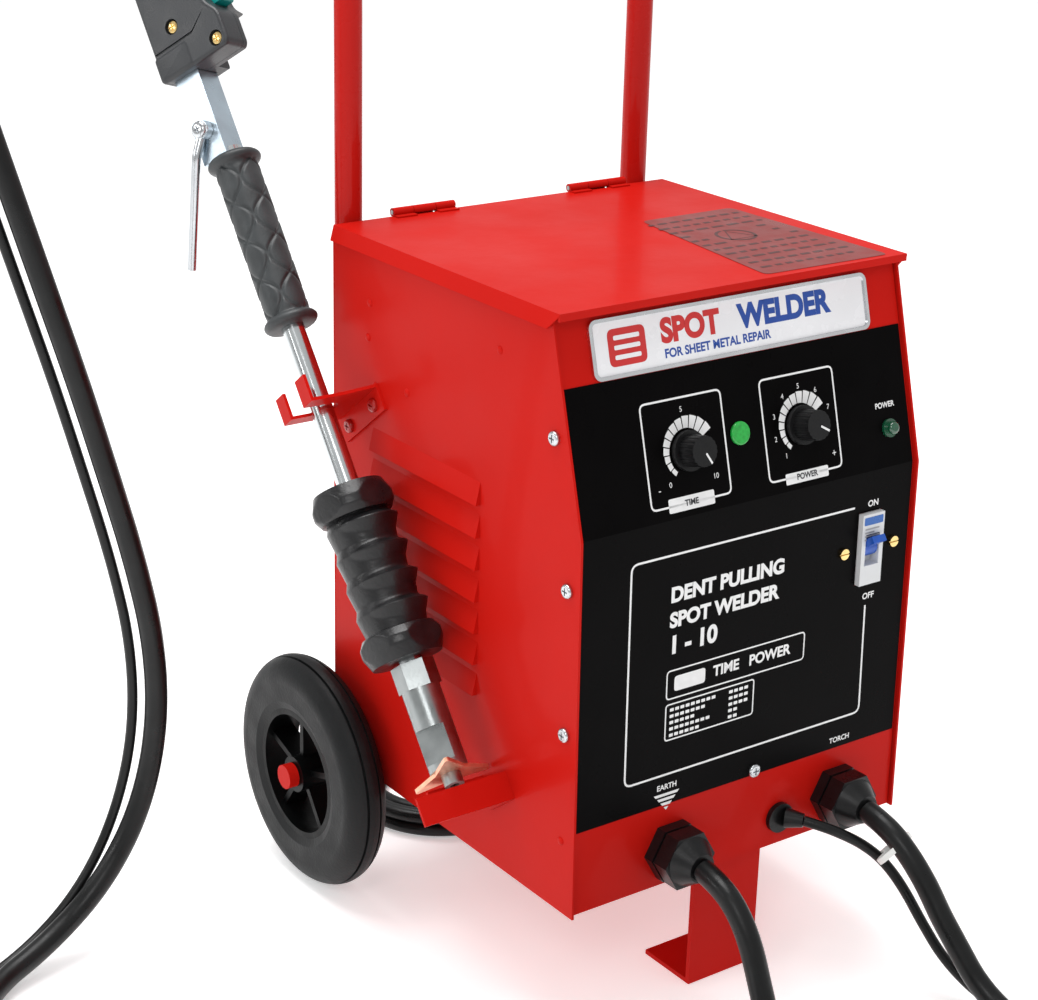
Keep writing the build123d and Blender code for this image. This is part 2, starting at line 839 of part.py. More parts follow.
with BuildPart() as cable_glands:
    for x in (ground_x, torch_x):
        seat = face_plane(x, gland_z)
        with BuildSketch(seat):
            RegularPolygon(gland_af / 2, 6, major_radius=False)
        extrude(amount=7)
        with BuildSketch(seat):
            Circle(14.6)
        extrude(amount=9)
        with BuildSketch(seat.offset(8.2)):
            RegularPolygon(gland_af / 2 - 0.4, 6, major_radius=False)
        extrude(amount=11)
        with BuildSketch(seat.offset(19.2)):
            Circle(15.6)
        extrude(amount=gland_len - 19.2, taper=32)
        with BuildSketch(seat):
            Circle(14.0)
        extrude(amount=-14)
        with BuildSketch(seat.offset(-1.7)):
            RegularPolygon(gland_af / 2, 6, major_radius=False)
        extrude(amount=-5)
save(cable_glands.part, "cable_glands")

boot_dir = Vector(0.6, -0.8, 0)
boot_len = 16.0
boot_base = face_plane(boot_x - 2, boot_z)
boot_tip = boot_base.origin + boot_dir * boot_len
mains_boot_len = 34.0
mains_base = Plane(origin=(mains_x, back_y, mains_z), x_dir=(-1, 0, 0), z_dir=(0, 1, 0))

with BuildPart() as cable_boots:
    with BuildSketch(boot_base):
        Circle(9.5)
    extrude(amount=3.2)
    with BuildSketch(boot_base):
        Circle(5.0)
    extrude(amount=-7)
    with BuildSketch(Plane(origin=boot_base.origin + boot_dir * 5, z_dir=boot_dir)):
        Circle(6.4)
    with BuildSketch(Plane(origin=boot_tip, z_dir=boot_dir)):
        Circle(4.2)
    loft()
    with BuildSketch(mains_base):
        Circle(10)
    extrude(amount=3)
    with BuildSketch(mains_base):
        Circle(6.0)
    extrude(amount=-8)
    with BuildSketch(mains_base):
        Circle(8.2)
    with BuildSketch(mains_base.offset(mains_boot_len)):
        Circle(5.4)
    loft()
save(cable_boots.part, "cable_boots")

# =============================== welding gun ===============================

with BuildPart() as slide_shaft:
    with BuildSketch(gun.offset(nut_high - 20)):
        Circle(shaft_r)
    extrude(amount=grip_high + 6 - nut_high + 20)
save(slide_shaft.part, "slide_shaft")

to_side = gun.x_dir * cos(radians(tip_turn)) + gun.y_dir * sin(radians(tip_turn))
tip = Plane(
    origin=gun.from_local_coords((0, 0, tip_s)),
    x_dir=to_side * cos(radians(tip_lean)) + gun.z_dir * sin(radians(tip_lean)),
    z_dir=gun.z_dir * cos(radians(tip_lean)) - to_side * sin(radians(tip_lean)),
)

with BuildPart() as nose_tube:
    with BuildSketch(gun.offset(tip_s - 5)):
        Circle(nose_r)
    extrude(amount=nut_low - tip_s + 5)
    with BuildSketch(gun.offset(nut_low)):
        RegularPolygon(nut_af / 2, 6, major_radius=False)
    extrude(amount=nut_high - nut_low)
    with BuildSketch(gun.offset(nut_high - 20)):
        Circle(shaft_r)
    extrude(amount=21, mode=Mode.SUBTRACT)
    with BuildSketch(
        Plane(
            origin=gun.from_local_coords((0, 0, 5.0)),
            x_dir=gun.x_dir * cos(radians(nose_flat_turn)) + gun.y_dir * sin(radians(nose_flat_turn)),
            z_dir=gun.z_dir,
        )
    ):
        with Locations((nose_flat + 5, 0)):
            Rectangle(10, 30)
    extrude(amount=21, mode=Mode.SUBTRACT)
    split(bisect_by=tip, keep=Keep.TOP)
save(nose_tube.part, "nose_tube")

with BuildPart() as star_tip:
    with BuildSketch(tip.offset(-star_t)):
        with BuildLine():
            FilletPolyline(
                *[
                    (
                        (star_r if i % 2 == 0 else 10.5) * cos(radians(60 * i)),
                        (star_r if i % 2 == 0 else 10.5) * sin(radians(60 * i)),
                    )
                    for i in range(6)
                ],
                radius=1.6,
                close=True,
            )
        make_face()
        Circle(3.1, mode=Mode.SUBTRACT)
    extrude(amount=star_t)
save(star_tip.part, "star_tip")

with BuildPart() as tip_screw:
    with BuildSketch(tip.offset(-star_t)):
        Circle(6.0)
    extrude(amount=-7)
    with BuildSketch(tip.offset(-star_t - 7)):
        RegularPolygon(2.6, 6, major_radius=False)
    extrude(amount=4, mode=Mode.SUBTRACT)
    with BuildSketch(tip.offset(-star_t)):
        Circle(3.0)
    extrude(amount=star_t)
save(tip_screw.part, "tip_screw")

with BuildPart() as slide_hammer:
    hammer_axis = gun.from_local_coords((*hammer_shift, 0))
    with BuildSketch(Plane(origin=hammer_axis, x_dir=gun.x_dir, z_dir=-gun.y_dir)):
        with BuildLine():
            wave = (hammer_high - hammer_low) / 5
            outline = [(0, hammer_low), (hammer_r - 1, hammer_low)]
            for i in range(5):
                low = hammer_low + i * wave
                outline += [(hammer_r, low + 3), (hammer_r, low + wave - 7), (hammer_r - 4, low + wave)]
            Polyline(*outline, (0, hammer_high), close=True)
        make_face()
    revolve(axis=Axis(hammer_axis, gun.z_dir))
    with BuildSketch(gun.offset(hammer_low - 1)):
        Circle(shaft_r + 0.1)
    extrude(amount=hammer_high - hammer_low + 2, mode=Mode.SUBTRACT)
save(slide_hammer.part, "slide_hammer")

with BuildPart() as rubber_grip:
    with BuildSketch(gun.offset(grip_low)):
        Circle(grip_r)
    extrude(amount=grip_high - grip_low)
    for low in (grip_low, grip_high - 5):
        with BuildSketch(gun.offset(low)):
            Circle(grip_flange_r)
        extrude(amount=5)
    with BuildSketch(gun.offset(grip_low - 1)):
        Circle(shaft_r + 0.1)
    extrude(amount=grip_high - grip_low + 2, mode=Mode.SUBTRACT)
save(rubber_grip.part, "rubber_grip")

bolt_s = 420.0
bolt_at = rolled(bolt_s).from_local_coords((bar_shift, -bar_side / 2, 0))
outward = -rolled(bolt_s).y_dir
bolt_seat = Plane(origin=bolt_at, x_dir=rolled(bolt_s).x_dir, z_dir=outward)
hook_t = 5.8
hook_drop = 72.0
hook_from = bolt_at + outward * (0.3 + hook_t / 2)
along_bar = (Vector(0, 0, -1) + outward * outward.Z).normalized()
hook_down = (Vector(0, 0, -1) - rolled(bolt_s).x_dir * 0.09).normalized()

with BuildPart() as gun_bar:
    with BuildSketch(rolled(grip_high + 1)):
        with Locations((bar_shift, 0)):
            Rectangle(bar_side, bar_side)
    extrude(amount=bar_high - grip_high - 1)
    with BuildSketch(gun.offset(grip_high)):
        Circle(shaft_r + 0.05)
    extrude(amount=6.2, mode=Mode.SUBTRACT)
    with BuildSketch(bolt_seat):
        Circle(2.5)
    extrude(amount=-12, mode=Mode.SUBTRACT)
save(gun_bar.part, "gun_bar")

with BuildPart() as swing_hook:
    with BuildSketch(bolt_seat.offset(0.3)):
        Circle(6.0)
        Circle(2.45, mode=Mode.SUBTRACT)
    extrude(amount=hook_t)
    with BuildLine() as hook_line:
        FilletPolyline(
            hook_from + along_bar * 5.0,
            hook_from + along_bar * 17 + outward * 1.5,
            hook_from + along_bar * 17 + outward * 1.5 + hook_down * hook_drop,
            radius=14,
        )
    with BuildSketch(Plane(origin=hook_line.line @ 0, z_dir=hook_line.line % 0)):
        Circle(hook_t / 2 - 0.05)
    sweep(path=hook_line.wires()[0])
save(swing_hook.part, "swing_hook")


def shell_outline():
    """The gun handle's side view, along its axis and towards its trigger."""
    return [
        (shell_low, -20),
        (shell_low, 36),
        (shell_low + 25, 36),
        (shell_low + 34, 28),
        (shell_low + 92, 28),
        (shell_low + 102, 35),
        (shell_low + 122, 30),
        (shell_high - 6, 12),
        (shell_high, 6),
        (shell_high, -14),
        (shell_high - 8, -20),
    ]


side_view = Plane(
    origin=gun.origin,
    x_dir=gun.z_dir,
    z_dir=rolled(0).y_dir * -1,
)


def gun_shell(outer):
    """One half of the handle's casing: outer is 1 for the half away from the cabinet and -1 for the other."""
    with BuildPart() as shell:
        with BuildSketch(side_view):
            with BuildLine():
                FilletPolyline(*[(s, -r) for s, r in shell_outline()], radius=4, close=True)
            make_face()
        extrude(amount=outer * shell_half)
        with BuildSketch(rolled(shell_low - 1)):
            with Locations((bar_shift, 0)):
                Rectangle(bar_side + 0.4, bar_side + 0.4)
        extrude(amount=bar_high - shell_low + 2, mode=Mode.SUBTRACT)
        with BuildSketch(rolled(bar_high + 1)):
            with Locations((-4, 0)):
                Rectangle(24, 22)
        extrude(amount=shell_high - bar_high - 16, mode=Mode.SUBTRACT)
        with BuildSketch(rolled(trigger_low - 1)):
            with Locations((23, 0)):
                Rectangle(30, 13)
        extrude(amount=trigger_len + 2, mode=Mode.SUBTRACT)
        if outer < 0:
            with BuildSketch(rolled(shell_low - 1)):
                with Locations((24, 11)):
                    Rectangle(28, 14)
            extrude(amount=26.5, mode=Mode.SUBTRACT)
    return shell.part


shell_screw_at = ((0.0, 488.0), (28.0, 465.0), (-4.0, 604.0))
shell_seats = [
    Plane(origin=rolled(s).from_local_coords((r, -shell_half, 0)), x_dir=rolled(s).x_dir, z_dir=outward)
    for r, s in shell_screw_at
]


def shell_screw_holes(part):
    with BuildPart() as result:
        add(part)
        for seat in shell_seats:
            with BuildSketch(seat.offset(1)):
                Circle(4.6)
            extrude(amount=-4, mode=Mode.SUBTRACT)
            with BuildSketch(seat.offset(1)):
                Circle(2.6)
            extrude(amount=-13, mode=Mode.SUBTRACT)
    return result.part


save(shell_screw_holes(gun_shell(1)), "gun_shell_left")
save(shell_screw_holes(gun_shell(-1)), "gun_shell_right")

with BuildPart() as gun_screws:
    for seat in shell_seats:
        add(pan_screw(seat.offset(-3)))
    add(pan_screw(bolt_seat.offset(hook_t + 0.6), 14))
save(gun_screws.part, "gun_screws")

with BuildPart() as trigger:
    with BuildSketch(side_view):
        with BuildLine():
            FilletPolyline(
                (trigger_low, -14),
                (trigger_low + trigger_len, -14),
                (trigger_low + trigger_len, -30),
                (trigger_low + 20, -33),
                (trigger_low + 5, -38),
                (trigger_low, -35),
                radius=1.5,
                close=True,
            )
        make_face()
    extrude(amount=6, both=True)
save(trigger.part, "trigger")

with BuildPart() as trigger_switch:
    with BuildSketch(rolled(506)):
        with Locations((-6, 0)):
            Rectangle(14, 12)
    extrude(amount=28)
save(trigger_switch.part, "trigger_switch")

# =============================== cords ===============================


def cord(name, points, diameter):
    """A cord's tube: straight runs joined by arcs as large as the runs allow."""
    corners = [Vector(*p) for p in points]
    runs = [b - a for a, b in zip(corners, corners[1:])]
    radii = []
    for first, second in zip(runs, runs[1:]):
        turn = first.get_angle(second)
        radii.append(0.45 * min(first.length, second.length) / tan(radians(turn) / 2))
    with BuildLine() as route:
        FilletPolyline(*corners, radius=radii)
    path = route.wires()[0]
    with BuildPart() as tube:
        with BuildSketch(Plane(origin=path @ 0, z_dir=path % 0)):
            Circle(diameter / 2)
        sweep(path=path)
    expected = pi * diameter**2 / 4 * path.length
    print(
        f"{name}: length {path.length:.0f}, tightest {min(radii) / diameter:.1f} d,",
        f"volume {tube.part.volume / expected:.4f} of its section times its length,",
        f"longest run {max(r.length for r in runs):.0f}",
    )
    save(tube.part, name)


cord(
    "ground_cable",
    [
        (-54, -59.7, 107),
        (-54, -75.5, 104.5),
        (-53.5, -91, 95),
        (-53, -103, 79),
        (-53, -112, 59),
        (-54, -123, 38),
        (-55, -138, 20),
        (-58.5, -161, 10),
        (-63, -187, 7.6),
        (-65, -212, 7.1),
    ],
    weld_d,
)

cord(
    "ground_tail",
    [
        (-140, -287, 52.6),
        (-172, -288, 51),
        (-205, -287, 42),
        (-237, -283, 25),
        (-265, -280, 13),
        (-290, -281, 10),
    ],
    weld_d,
)

cord(
    "torch_cable",
    [
        (76, -59.7, 107.2),
        (76.5, -76, 104.5),
        (79, -92, 94),
        (83.5, -106, 77),
        (87.5, -116, 59),
        (91, -126, 45),
        (97, -143, 21),
        (101, -168, 9),
        (98, -204, 7.4),
        (74, -236, 7.4),
        (37, -243, 7.3),
        (5, -219, 7.3),
        (-13, -176, 7.3),
        (-32, -131, 7.3),
        (-69, -95, 7.3),
        (-116, -72, 7.3),
        (-165, -55, 7.3),
        (-216, -34, 7.3),
        (-268, -8, 7.3),
        (-322, 20, 7.3),
        (-374, 52, 7.3),
        (-414, 98, 7.3),
        (-419, 152, 7.3),
        (-386, 196, 7.6),
        (-342, 210, 17),
        (-303, 216, 42),
        (-274, 219, 82),
        (-259, 220, 134),
        (-258, 221, 192),
        (-268, 224, 250),
        (-281, 229, 306),
        (-294.5, 234, 362),
        (-309, 241, 418),
        (-323, 249, 474),
        (-335, 261, 528),
        (-341, 281, 582),
        (-337, 312, 632),
        (-318, 352, 671),
        (-284, 394, 696),
        (-241, 430, 703),
        (-199, 452, 695),
        (-170, 454, 677),
        (-157, 441.5, 655),
    ],
    weld_d,
)

cord(
    "control_cable",
    [
        (40.6, -42.3, 103),
        (48, -51, 101),
        (58, -58.5, 96),
        (69, -65, 89),
        (78, -74, 80),
        (85, -86, 65),
        (91, -99, 44),
        (97, -114, 24),
        (105, -136, 8.5),
        (112, -165, 3.6),
        (111, -205, 3.6),
        (84, -247, 3.6),
        (34, -256, 3.6),
        (-6, -226, 3.6),
        (-25, -181, 3.6),
        (-43, -139, 3.6),
        (-77, -106, 3.6),
        (-121, -84, 3.6),
        (-170, -67, 3.6),
        (-222, -46, 3.6),
        (-274, -18, 3.6),
        (-328, 10, 3.6),
        (-382, 43, 3.6),
        (-425, 93, 3.6),
        (-430.5, 156, 3.6),
        (-394, 205, 5),
        (-347, 220, 14),
        (-311, 226, 40),
        (-285, 229, 81),
        (-270, 230, 134),
        (-269, 231, 192),
        (-279, 234, 250),
        (-292, 239, 306),
        (-305.5, 244, 362),
        (-320, 251, 418),
        (-334, 259, 474),
        (-346.5, 271, 530),
        (-352, 292, 587),
        (-347, 322, 640),
        (-325, 362, 681),
        (-288, 406, 707),
        (-243, 443, 714),
        (-195, 466, 703),
        (-164, 466, 681),
        (-150, 449, 660),
    ],
    control_d,
)

cord(
    "mains_cable",
    [
        (62, 261, 118),
        (62.5, 279, 115),
        (63, 293, 103),
        (62, 301, 85),
        (60, 304, 63),
        (56, 304, 42),
        (50, 300, 24),
        (45, 289, 10),
        (42, 276, 5),
        (41, 265, 4.8),
    ],
    mains_d,
)


def coil_body(centre, mid_r, width, height, diameter, notches):
    """The outer shape of a round coil, cut flat where the cord runs into it and out of it."""
    with BuildPart() as ring:
        with BuildSketch(Plane.XZ.offset(-centre.Y)):
            with Locations((centre.X + mid_r, height / 2)):
                RectangleRounded(width, height, diameter / 3)
        revolve(axis=Axis((centre.X, centre.Y, 0), (0, 0, 1)))
        for low, high in notches:
            middle = [(a + b) / 2 for a, b in zip(low, high)]
            with Locations(tuple(middle)):
                Box(*[b - a for a, b in zip(low, high)], mode=Mode.SUBTRACT)
    return ring.part


save(
    coil_body(
        ground_coil_at,
        ground_coil_r,
        weld_d,
        60.0,
        weld_d,
        [
            ((-74, -212, -1), (-55, -167, 15)),
            ((-195, -297, 43), (-140, -278, 62)),
        ],
    ),
    "ground_coil",
)

save(
    coil_body(
        mains_coil_at,
        mains_coil_r,
        3 * mains_d,
        2 * mains_d,
        mains_d,
        [
            ((35.8, 265, -1), (56, 300, 20)),
            ((-18, 317, 8.5), (24, 332, 20)),
        ],
    ),
    "mains_coil",
)

plug_x = 46.0
plug_y = 324.0
plug_z = 13.5
with BuildPart() as mains_plug:
    with BuildSketch(Plane.YZ.offset(-18)):
        with Locations((plug_y, plug_z)):
            Circle(4.4)
    extrude(amount=plug_x + 19)
    with BuildSketch(Plane.YZ.offset(plug_x)):
        with Locations((plug_y, plug_z)):
            RectangleRounded(34, 26, 7)
    extrude(amount=36)
    with BuildSketch(Plane.YZ.offset(plug_x + 36)):
        with Locations((plug_y - 9.5, plug_z), (plug_y + 9.5, plug_z)):
            Circle(2.4)
    extrude(amount=19)
save(mains_plug.part, "mains_plug")

clamp_x = -290.0
clamp_y = -281.0
with BuildPart() as earth_clamp:
    for side in (-1, 1):
        with BuildSketch(Plane.XY.offset(4)):
            with BuildLine():
                FilletPolyline(
                    (clamp_x, clamp_y + side * 5),
                    (clamp_x, clamp_y + side * 24),
                    (clamp_x - 62, clamp_y + side * 15),
                    (clamp_x - 86, clamp_y + side * 17),
                    (clamp_x - 118, clamp_y + side * 11),
                    (clamp_x - 132, clamp_y + side * 1.5),
                    (clamp_x - 122, clamp_y + side * 1.5),
                    (clamp_x - 100, clamp_y + side * 6),
                    (clamp_x - 74, clamp_y + side * 6),
                    radius=2,
                    close=True,
                )
            make_face()
        extrude(amount=16)
    with BuildSketch(Plane.XY):
        with Locations((clamp_x - 68, clamp_y)):
            Circle(8)
    extrude(amount=24)
save(earth_clamp.part, "earth_clamp")
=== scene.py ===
from math import cos, exp, hypot, pi, radians, sin

import bmesh
import bpy
from mathutils import Matrix, Vector


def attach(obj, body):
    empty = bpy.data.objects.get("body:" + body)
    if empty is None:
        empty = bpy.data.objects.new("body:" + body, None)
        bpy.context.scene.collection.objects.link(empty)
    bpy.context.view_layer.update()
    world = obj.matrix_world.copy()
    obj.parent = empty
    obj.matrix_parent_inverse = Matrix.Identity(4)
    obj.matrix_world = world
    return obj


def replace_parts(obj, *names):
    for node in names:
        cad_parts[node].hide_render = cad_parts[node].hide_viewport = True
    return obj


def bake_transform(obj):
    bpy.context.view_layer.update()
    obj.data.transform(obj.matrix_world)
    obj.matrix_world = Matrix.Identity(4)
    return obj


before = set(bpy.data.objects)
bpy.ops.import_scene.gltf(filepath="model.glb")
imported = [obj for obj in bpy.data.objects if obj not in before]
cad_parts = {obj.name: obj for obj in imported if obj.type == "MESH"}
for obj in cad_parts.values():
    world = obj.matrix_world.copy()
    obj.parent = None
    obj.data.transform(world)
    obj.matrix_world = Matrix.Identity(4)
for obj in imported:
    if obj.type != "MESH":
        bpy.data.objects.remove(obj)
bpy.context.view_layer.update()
MM = 0.001

# ------------------------------------------------------------------ camera

camera_data = bpy.data.cameras.new("camera")
camera_data.sensor_width = 36
camera_data.sensor_fit = "HORIZONTAL"
camera_data.lens = 78.63
camera_data.clip_start = 0.05
camera = bpy.data.objects.new("camera", camera_data)
bpy.context.scene.collection.objects.link(camera)
right = Vector((0.8122, -0.5830, 0.0245))
upward = Vector((0.1866, 0.2993, 0.9358))
back = -Vector((0.5529, 0.7554, -0.3518))
camera.matrix_world = Matrix(
    (
        (right.x, upward.x, back.x, -0.8230),
        (right.y, upward.y, back.y, -0.9213),
        (right.z, upward.z, back.z, 0.7641),
        (0, 0, 0, 1),
    )
)
bpy.context.scene.camera = camera
bpy.context.scene.view_settings.view_transform = "Standard"

# ------------------------------------------------------------------ materials


def material(
    name,
    color,
    rough=0.4,
    metallic=0.0,
    coat=0.0,
    tint=0.06,
    tint_scale=30.0,
    rough_spread=0.08,
    rough_scale=60.0,
    bump=0.05,
    bump_scale=400.0,
    stretch=(1, 1, 1),
    **shader_values,
):
    """A surface whose colour, roughness and fine relief all wander a little, as on a real part."""
    mat = bpy.data.materials.new(name)
    mat.use_nodes = True
    nodes = mat.node_tree.nodes
    links = mat.node_tree.links
    shader = nodes["Principled BSDF"]
    shader.inputs["Metallic"].default_value = metallic
    shader.inputs["Coat Weight"].default_value = coat
    shader.inputs["Coat Roughness"].default_value = 0.06
    for key, value in shader_values.items():
        shader.inputs[key.replace("_", " ").title().replace("Ior", "IOR")].default_value = value
    where = nodes.new("ShaderNodeTexCoord")
    mapping = nodes.new("ShaderNodeMapping")
    mapping.inputs["Scale"].default_value = stretch
    links.new(where.outputs["Object"], mapping.inputs["Vector"])

    def noise(scale, detail=4.0):
        node = nodes.new("ShaderNodeTexNoise")
        node.inputs["Scale"].default_value = scale
        node.inputs["Detail"].default_value = detail
        links.new(mapping.outputs["Vector"], node.inputs["Vector"])
        return node

    shade = nodes.new("ShaderNodeValToRGB")
    shade.color_ramp.elements[0].position = 0.3
    shade.color_ramp.elements[1].position = 0.7
    shade.color_ramp.elements[0].color = (*[c * (1 - tint) for c in color], 1)
    shade.color_ramp.elements[1].color = (*[min(1, c * (1 + tint)) for c in color], 1)
    links.new(noise(tint_scale).outputs["Fac"], shade.inputs["Fac"])
    links.new(shade.outputs["Color"], shader.inputs["Base Color"])
    dull = nodes.new("ShaderNodeMapRange")
    dull.inputs["From Min"].default_value = 0.3
    dull.inputs["From Max"].default_value = 0.7
    dull.inputs["To Min"].default_value = max(0.02, rough - rough_spread)
    dull.inputs["To Max"].default_value = min(1.0, rough + rough_spread)
    links.new(noise(rough_scale).outputs["Fac"], dull.inputs["Value"])
    links.new(dull.outputs["Result"], shader.inputs["Roughness"])
    relief = nodes.new("ShaderNodeBump")
    relief.inputs["Strength"].default_value = bump
    relief.inputs["Distance"].default_value = 0.0006
    links.new(noise(bump_scale, 6.0).outputs["Fac"], relief.inputs["Height"])
    links.new(relief.outputs["Normal"], shader.inputs["Normal"])
    return mat


red = material("red_paint", (0.50, 0.0085, 0.005), 0.36, coat=0.035, tint=0.05, tint_scale=6, rough_scale=20,
               bump=0.12, bump_scale=160, specular_ior_level=0.04)
red_tube = material("red_tube_paint", (0.45, 0.0080, 0.005), 0.28, coat=0.14, tint=0.04, tint_scale=10,
                    bump=0.06, bump_scale=200, specular_ior_level=0.08)
zinc = material("zinc_plate", (0.56, 0.66, 0.74), 0.3, metallic=1.0, tint=0.10, tint_scale=50,
                rough_spread=0.1,
                bump=0.1)
bright_zinc = material("bright_zinc", (0.56, 0.58, 0.60), 0.24, metallic=1.0, tint=0.08, tint_scale=80)
steel = material("turned_steel", (0.31, 0.33, 0.33), 0.34, metallic=1.0, tint=0.16, tint_scale=60, bump=0.12,
                 bump_scale=700)
chromed = material("polished_chrome", (0.62, 0.65, 0.66), 0.16, metallic=1.0, tint=0.03, rough_spread=0.03,
                   bump=0.01)
galvanised = material("galvanised_sheet", (0.55, 0.57, 0.60), 0.42, metallic=1.0, tint=0.16, tint_scale=90)
brass = material("yellow_passivated", (0.83, 0.60, 0.25), 0.25, metallic=1.0, tint=0.12, tint_scale=300)
copper = material("bare_copper", (0.86, 0.45, 0.30), 0.34, metallic=0.85, tint=0.16, tint_scale=120,
                  bump=0.15)
bus_copper = material("copper_strip", (0.72, 0.32, 0.17), 0.36, metallic=1.0, tint=0.2, tint_scale=60)
iron = material("varnished_laminations", (0.09, 0.085, 0.08), 0.5, metallic=0.6, tint=0.3, tint_scale=900,
                stretch=(0.02, 1, 0.02), bump=0.4, bump_scale=900)
winding = material("varnished_winding", (0.22, 0.06, 0.02), 0.3, tint=0.3, tint_scale=700,
                   stretch=(0.05, 0.05, 1),
                   bump=0.5, bump_scale=700)
board = material("circuit_board", (0.01, 0.10, 0.035), 0.35, tint=0.4, tint_scale=160, bump=0.3,
                 bump_scale=300)
film = material("printed_film", (0.0020, 0.0017, 0.0018), 0.3, tint=0.2, tint_scale=20, bump=0.04,
                bump_scale=250,
                rough_spread=0.05, specular_ior_level=0.03)
plate_white = material("plate_face", (0.80, 0.80, 0.82), 0.25, tint=0.03, bump=0.03)
plate_rim = material("plate_rim", (0.74, 0.75, 0.77), 0.22, metallic=1.0, tint=0.05)
ink = material("white_ink", (0.78, 0.78, 0.78), 0.4, tint=0.04, tint_scale=200)
grey_ink = material("grey_ink", (0.30, 0.30, 0.31), 0.4, tint=0.06, tint_scale=200)
dark_ink = material("dark_ink", (0.02, 0.02, 0.025), 0.35, tint=0.1, tint_scale=200)
blue_ink = material("blue_ink", (0.01, 0.06, 0.32), 0.35, tint=0.08, tint_scale=200)
knob_black = material("knob_black", (0.006, 0.006, 0.0065), 0.38, tint=0.2, tint_scale=300, bump=0.2,
                      bump_scale=900,
                      specular_ior_level=0.25)
green = material("green_lens", (0.01, 0.36, 0.045), 0.2, coat=0.4, tint=0.2, tint_scale=400)
lamp_green = material("lamp_lens", (0.004, 0.07, 0.03), 0.12, coat=1.0, tint=0.15, tint_scale=400)
breaker_grey = material("breaker_moulding", (0.66, 0.67, 0.68), 0.42, tint=0.04, bump=0.12, bump_scale=900)
breaker_blue = material("breaker_lever", (0.01, 0.08, 0.42), 0.3, tint=0.1, tint_scale=200)
nylon = material("black_nylon", (0.006, 0.006, 0.0065), 0.34, tint=0.2, tint_scale=200, bump=0.15,
                 bump_scale=700,
                 specular_ior_level=0.3)
white_nylon = material("white_nylon", (0.82, 0.82, 0.80), 0.35, tint=0.04, tint_scale=200)
rim_plastic = material("rim_moulding", (0.0018, 0.0021, 0.0022), 0.4, tint=0.2, tint_scale=90, bump=0.2,
                       bump_scale=600,
                       specular_ior_level=0.10)
tyre_rubber = material("tyre_rubber", (0.0075, 0.0080, 0.0085), 0.5, tint=0.25, tint_scale=60, bump=0.3,
                       bump_scale=500,
                       specular_ior_level=0.2)
soft_rubber = material("grip_rubber", (0.030, 0.034, 0.036), 0.46, tint=0.25, tint_scale=90, bump=0.25,
                       bump_scale=700)
hammer_rubber = material("hammer_rubber", (0.007, 0.007, 0.0078), 0.34, tint=0.3, tint_scale=120, bump=0.4,
                         bump_scale=350, specular_ior_level=0.45)
shell_black = material("shell_moulding", (0.024, 0.026, 0.029), 0.38, tint=0.2, tint_scale=60, bump=0.3,
                       bump_scale=1100)
teal = material("teal_lever", (0.0, 0.27, 0.25), 0.36, tint=0.08, tint_scale=100, bump=0.1, bump_scale=900)
sheath = material("cable_sheath", (0.0065, 0.0068, 0.007), 0.34, tint=0.25, tint_scale=40, rough_spread=0.1,
                  bump=0.2,
                  bump_scale=260, specular_ior_level=0.28)
clamp_red = material("clamp_grip", (0.45, 0.012, 0.01), 0.4, tint=0.15, tint_scale=90, bump=0.2,
                     bump_scale=500)

# The case screws: bare zinc, except on the left panel, where they are red, partly as paint and partly as
# painted shade.
screw_zinc_and_shaded_red = material("case_screw_zinc_and_shaded_red", (0.56, 0.58, 0.60), 0.24, metallic=1.0, tint=0.08, tint_scale=80)
screw_nodes, screw_links = screw_zinc_and_shaded_red.node_tree.nodes, screw_zinc_and_shaded_red.node_tree.links
screw_shader = screw_nodes["Principled BSDF"]


def screw_math(operation, *values):
    """A sum in the case screws' material; each value is a number or another node's output."""
    node = screw_nodes.new("ShaderNodeMath")
    node.operation = operation
    for socket, value in zip(node.inputs, values):
        if isinstance(value, (int, float)):
            socket.default_value = value
        else:
            screw_links.new(value, socket)
    return node.outputs[0]


# The bracket screws on the left panel are painted over in red, and that red is darker than the case's paint
# as painted shade for the shade under the fork and the rest; the screws at the front are bare.
LEFT_PANEL_X, BEHIND_FRONT_Y = -0.12, 0.01
COLOUR_A, COLOUR_B, COLOUR_OUT = 6, 7, 2
screw_place = screw_nodes.new("ShaderNodeTexCoord")
screw_axes = screw_nodes.new("ShaderNodeSeparateXYZ")
screw_links.new(screw_place.outputs["Object"], screw_axes.inputs["Vector"])
# This mask picks the screws that are painted red, in a darker red that is painted shade.
painted = screw_math(
    "MULTIPLY",
    screw_math("LESS_THAN", screw_axes.outputs["X"], LEFT_PANEL_X),
    screw_math("GREATER_THAN", screw_axes.outputs["Y"], BEHIND_FRONT_Y),
)
screw_mix = screw_nodes.new("ShaderNodeMix")
screw_mix.data_type = "RGBA"
# Painted shade: the screws' red is darker than the case's paint, to stand for the shade they sit in.
screw_mix.inputs[COLOUR_B].default_value = (0.36, 0.008, 0.006, 1)
screw_links.new(screw_shader.inputs["Base Color"].links[0].from_socket, screw_mix.inputs[COLOUR_A])
screw_links.new(painted, screw_mix.inputs["Factor"])
screw_links.new(screw_mix.outputs[COLOUR_OUT], screw_shader.inputs["Base Color"])
screw_links.new(screw_math("SUBTRACT", 1, painted), screw_shader.inputs["Metallic"])

